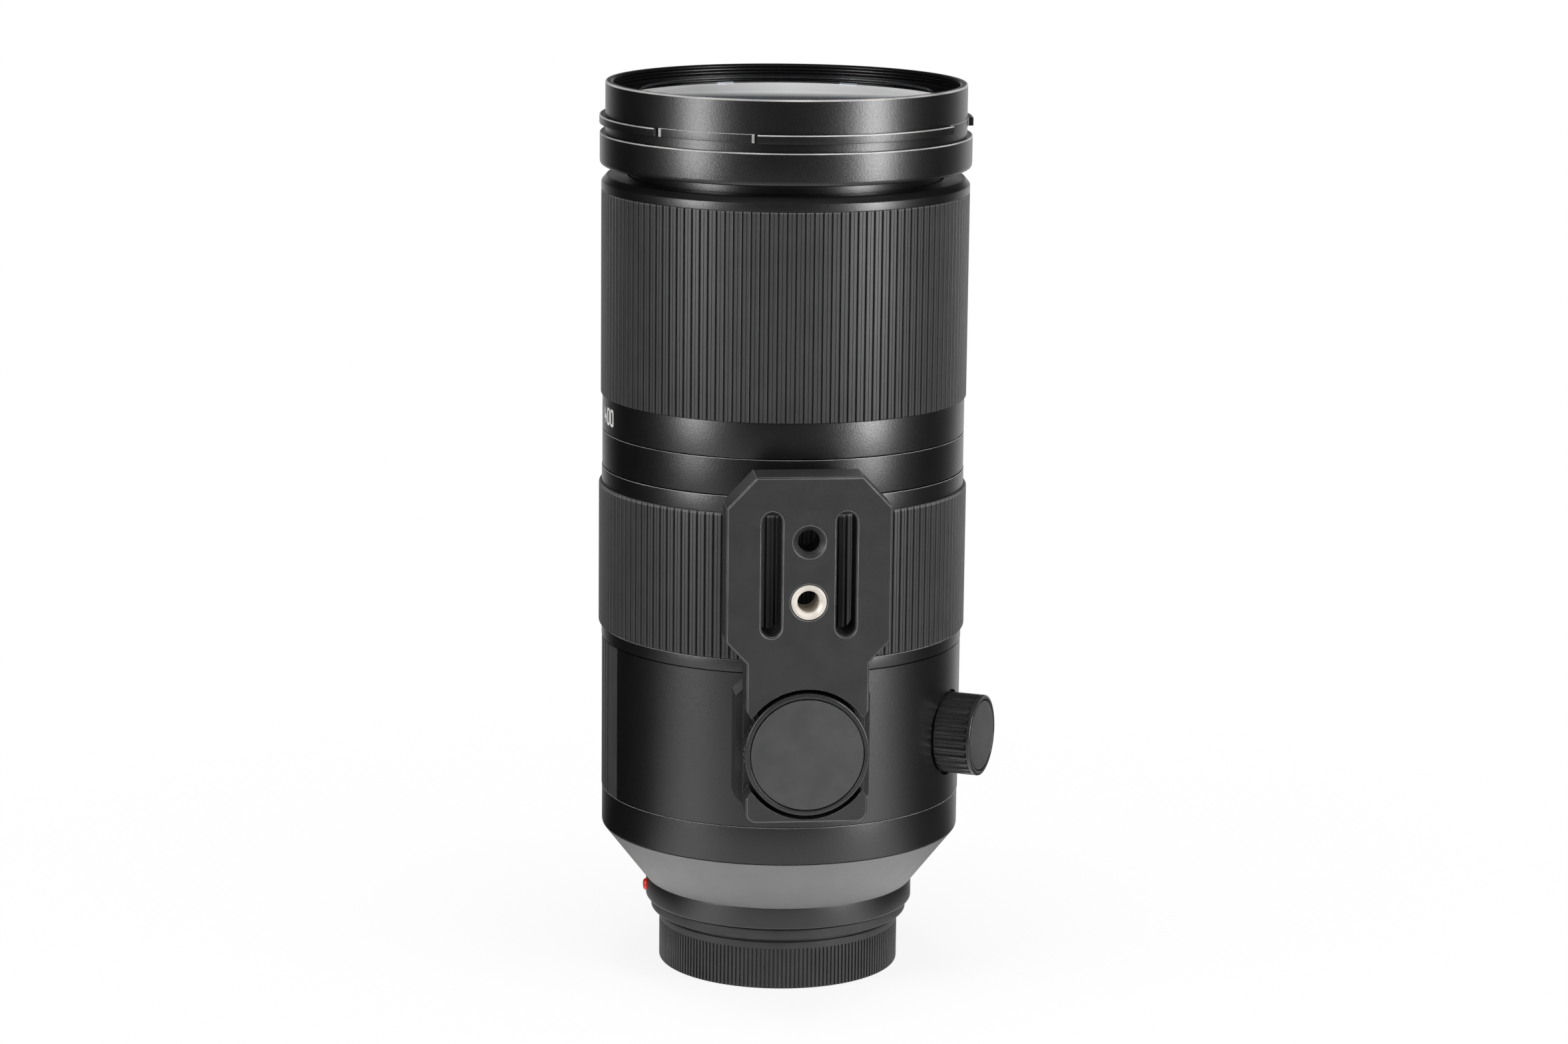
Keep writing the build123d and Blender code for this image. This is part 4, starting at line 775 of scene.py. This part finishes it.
# %% Strokes of the numbers
digit_strokes = {
    "0": [((0.5, 1), (0.85, 1), (1, 0.9), (1, 0.1), (0.85, 0), (0.15, 0), (0, 0.1), (0, 0.9),
           (0.15, 1), (0.5, 1))],
    "1": [((0.25, 0.82), (0.6, 1), (0.6, 0))],
    "2": [((0, 0.9), (0.15, 1), (0.85, 1), (1, 0.9), (1, 0.62), (0, 0.16), (0, 0), (1, 0))],
    "3": [((0, 1), (0.85, 1), (1, 0.9), (1, 0.1), (0.85, 0), (0, 0)), ((0.3, 0.5), (1, 0.5))],
    "4": [((0.2, 1), (0, 0.34), (1, 0.34)), ((0.72, 0.6), (0.72, 0))],
    "5": [((1, 1), (0, 1), (0, 0.54), (0.85, 0.54), (1, 0.44), (1, 0.1), (0.85, 0), (0, 0))],
}
digit_width = 1.7
digit_height = 3.5
digit_step = 2.75
stroke_half = 0.31
paint_rise = 0.03
paint_sink = 0.08


def strip(line, left, low, turn, radius):
    """A painted stroke: a line on the digit's grid, widened and bent round the band."""
    spine = np.array(line) * (digit_width, digit_height) + (left, low)
    runs = np.diff(spine, axis=0)
    runs /= np.linalg.norm(runs, axis=1)[:, None]
    before = np.concatenate([runs[:1], runs])
    after = np.concatenate([runs, runs[-1:]])
    bisector = before + after
    bisector /= np.linalg.norm(bisector, axis=1)[:, None]
    across = np.stack([-bisector[:, 1], bisector[:, 0]], axis=1)
    across *= stroke_half / np.maximum(np.sum(bisector * after, axis=1), 0.5)[:, None]
    sides = [(spine + across, paint_rise), (spine - across, paint_rise),
             (spine - across, -paint_sink), (spine + across, -paint_sink)]
    bent = []
    for side, lift in sides:
        turns = turn + side[:, 0] / radius
        bent.append(np.stack([(radius + lift) * np.sin(turns), -(radius + lift) * np.cos(turns),
                              side[:, 1]], axis=1))
    points = np.stack(bent, axis=1)
    count = len(spine)
    faces = [[4 * step + side, 4 * step + (side + 1) % 4, 4 * step + 4 + (side + 1) % 4,
              4 * step + 4 + side] for step in range(count - 1) for side in range(4)]
    faces += [[0, 1, 2, 3], [4 * count - 4, 4 * count - 3, 4 * count - 2, 4 * count - 1]]
    return points.reshape(-1, 3), faces, [0] * len(faces)


# %% Zoom scale
scale_marks = (("100", 180.0), ("135", 205.0), ("200", 232.0), ("300", 260.0), ("400", 281.0))
digits_low = (sleeve_base + rubber_base) / 2 - digit_height / 2
scale_strips = []
for text, angle in scale_marks:
    row_left = -(len(text) * digit_step - (digit_step - digit_width)) / 2
    for place_in_row, digit in enumerate(text):
        left = row_left + place_in_row * digit_step
        scale_strips += [strip(line, left, digits_low, radians(angle), barrel_radius)
                         for line in digit_strokes[digit]]
make("zoom_numbers", "number_white", "", "zoom_ring", *scale_strips)
index_drop = 4.4
index_low = span("index_ring")[2] - index_drop
index_line = ((0.0, 0.0), (0.0, 1.0))
make("zoom_index", "number_white", "", "barrel",
     strip(index_line, 0.0, index_low, radians(180.0), barrel_radius))

# %% [markdown]
# The studio: a white table and a white backdrop behind the lens, dark sides where flags would
# stand, and two strip lamps beside the camera. A compass angle counted from the camera's direction
# lets one ramp describe the whole room, because black metal is shaped only by what it reflects.

# %% Compass of the room
camera_bearing = 96.2
half_circle = 180.0


def compass(tree, output, *stops):
    """A brightness that depends on the direction, given at angles counted from the camera."""
    place = node(tree, "ShaderNodeTexCoord")
    turned = node(tree, "ShaderNodeMapping")
    turned.inputs["Rotation"].default_value = (0, 0, radians(camera_bearing))
    tree.links.new(place.outputs[output], turned.inputs["Vector"])
    dial = node(tree, "ShaderNodeTexGradient", gradient_type="RADIAL")
    tree.links.new(turned.outputs["Vector"], dial.inputs["Vector"])
    placed = [((angle + half_circle) / (2 * half_circle), value) for angle, value in stops]
    return levels(tree, dial.outputs["Fac"], *placed)


open_front = ((-180, 0), (-140, 0), (-115, 0.01), (-82, 0.02), (-66, 0.7), (-52, 1.0), (-25, 0.6),
              (0, 0.6), (25, 0.6), (52, 1.0), (68, 0.7), (85, 0.06), (115, 0.06), (140, 0), (180, 0))
open_back = ((-180, 1), (-178.3, 0.55), (-176, 0.9), (-160, 1), (-145, 0.2), (-130, 0), (110, 0),
             (130, 0.15), (152, 1), (177, 1), (178.2, 0.8), (180, 1))

# %% [markdown]
# The table is one large white sheet. Seen by the camera it is kept near white, with just enough
# shading to hold the shadow. In reflections it shows painted light instead: white close to the lens
# and behind it, brighter in front of the lamps, and painted shade towards the sides, where flags
# would stand.

# %% Table
table_half = 6.0
table_drop = 0.0002
table_reach = 2.5
sheet_white = 0.92
lit_near = ((0.0, 1.0), (0.045, 1.0), (0.065, 0.4), (0.1, 0.0))
lit_front = ((0.0, 1.0), (0.1, 1.0), (0.2, 1.0), (0.3, 0.7), (0.5, 0.4), (0.7, 0.3), (0.9, 0.2),
             (1.2, 0.08), (1.8, 0.06), (2.1, 0.05))
shaded = ((0.0, 0.12), (0.05, 0.1), (0.14, 0.03), (0.3, 0.0))


def plane(name, half, height):
    """A square sheet that lies flat."""
    data = bpy.data.meshes.new(name)
    corners = [(-half, -half, 0), (half, -half, 0), (half, half, 0), (-half, half, 0)]
    data.from_pydata(corners, [], [(0, 1, 2, 3)])
    made = link(bpy.data.objects.new(name, data))
    made.location.z = height
    return made


table = plane("table", table_half, -table_drop)
sheet = bpy.data.materials.new("white_sheet")
sheet.use_nodes = True
tree = sheet.node_tree
tree.nodes.remove(tree.nodes["Principled BSDF"])
place = node(tree, "ShaderNodeTexCoord")
distance = node(tree, "ShaderNodeVectorMath", operation="LENGTH")
tree.links.new(place.outputs["Object"], distance.inputs[0])
far = math(tree, "DIVIDE", distance.outputs["Value"], table_reach)
# Mirror rays see painted light here: a glow near the lens and the lamps, painted shade at the sides.
near_glow = levels(tree, far, *[(reach / table_reach, value) for reach, value in lit_near])
front_glow = levels(tree, far, *[(reach / table_reach, value) for reach, value in lit_front])
front_glow = math(tree, "MULTIPLY", front_glow, compass(tree, "Object", *open_front))
back_glow = compass(tree, "Object", *open_back)
painted_table_light = math(tree, "MAXIMUM", math(tree, "MAXIMUM", near_glow, front_glow), back_glow)

# %% [markdown]
# A light path node tells which kind of ray is looking. Rays from the camera, and rays that passed
# through glass, see the white sheet; mirror rays see the painted light and shade; all the others see
# plain paper, so that the table lights the lens from below as real paper does.

# %% Table by kind of ray
path = node(tree, "ShaderNodeLightPath")
paper = node(tree, "ShaderNodeBsdfDiffuse", Color=(sheet_white, sheet_white, sheet_white, 1))
glow = node(tree, "ShaderNodeEmission", Strength=1.0)
mirror_glow = node(tree, "ShaderNodeEmission", Strength=1.0)
tree.links.new(painted_table_light, mirror_glow.inputs["Color"])
seen = math(tree, "MAXIMUM", path.outputs["Is Camera Ray"], path.outputs["Is Transmission Ray"])
lit = node(tree, "ShaderNodeMixShader")
shadow = levels(tree, far, *[(reach / table_reach, 1 - value) for reach, value in shaded])
tree.links.new(math(tree, "MULTIPLY", seen, shadow), lit.inputs["Fac"])
tree.links.new(paper.outputs[0], lit.inputs[1])
tree.links.new(glow.outputs[0], lit.inputs[2])
whole = node(tree, "ShaderNodeMixShader")
tree.links.new(path.outputs["Is Glossy Ray"], whole.inputs["Fac"])
tree.links.new(lit.outputs[0], whole.inputs[1])
tree.links.new(mirror_glow.outputs[0], whole.inputs[2])
tree.links.new(whole.outputs[0], tree.nodes["Material Output"].inputs["Surface"])
table.data.materials.append(sheet)

# %% [markdown]
# The world is the rest of the room: the same compass at the horizon, a backdrop that ends a little
# above the lens, and dimness above. For the camera it is plain white.

# %% Room
backdrop_top = 0.118
backdrop_fade = 0.02
above_backdrop = 0.03
world = bpy.data.worlds.new("studio")
bpy.context.scene.world = world
world.use_nodes = True
tree = world.node_tree
background = tree.nodes["Background"]
background.inputs["Strength"].default_value = 1.0
place = node(tree, "ShaderNodeTexCoord")
axes = node(tree, "ShaderNodeSeparateXYZ")
tree.links.new(place.outputs["Generated"], axes.inputs[0])
backdrop = levels(tree, axes.outputs["Z"], (0.0, 1.0), (backdrop_top, 1.0),
                  (backdrop_top + backdrop_fade, above_backdrop), (1.0, above_backdrop))
height = levels(tree, axes.outputs["Z"], (0.0, 0.05), (0.3, 0.1), (0.7, 0.22), (1.0, 0.14))
room_back = math(tree, "MULTIPLY", compass(tree, "Generated", *open_back), backdrop)
room_front = math(tree, "MULTIPLY", compass(tree, "Generated", *open_front), height)
room = math(tree, "MAXIMUM", room_back, room_front)
path = node(tree, "ShaderNodeLightPath")
seen = math(tree, "MAXIMUM", path.outputs["Is Camera Ray"], path.outputs["Is Transmission Ray"])
shown = math(tree, "MAXIMUM", room, seen)
tree.links.new(shown, background.inputs["Color"])

# %% [markdown]
# Two tall strip lamps stand on the table at either side of the camera, and each draws one upright
# highlight down the barrel. A lamp overhead catches the rims and the chamfers.

# %% Lamps
def lamp(name, turn, distance, height, width, length, radiance, target):
    """A soft rectangular lamp at an angle round the lens, counted from the foot towards +X."""
    data = bpy.data.lights.new(name, "AREA")
    data.shape = "RECTANGLE"
    data.size = width
    data.size_y = length
    data.energy = radiance * pi * width * length
    made = link(bpy.data.objects.new(name, data))
    angle = radians(turn)
    spot = Vector((sin(angle) * distance, -cos(angle) * distance, height))
    aim = (Vector(target) - spot).to_track_quat("-Z", "Y")
    made.matrix_world = Matrix.Translation(spot) @ aim.to_matrix().to_4x4()
    made.visible_camera = False
    return made


camera_turn = -6.2
strip_turn = 55.0
strip_distance = 0.55
strip_width = 0.15
strip_length = 0.5
left_middle = 0.31
right_middle = 0.28
left_radiance = 6.8
right_radiance = 9.5
top_radiance = 9.5
top_width = 0.6
lamp("left_strip", camera_turn - strip_turn, strip_distance, left_middle, strip_width,
     strip_length, left_radiance, (0, 0, left_middle))
lamp("right_strip", camera_turn + strip_turn, strip_distance, right_middle, strip_width,
     strip_length, right_radiance, (0, 0, right_middle))
top_lamp = lamp("top_lamp", camera_turn, 0.16, 1.3, top_width, top_width, top_radiance, (0, 0, 0.2))
top_lamp.visible_glossy = False

# %% [markdown]
# The picture is shown through the Standard view transform.

# %% View transform
bpy.context.scene.view_settings.view_transform = "Standard"
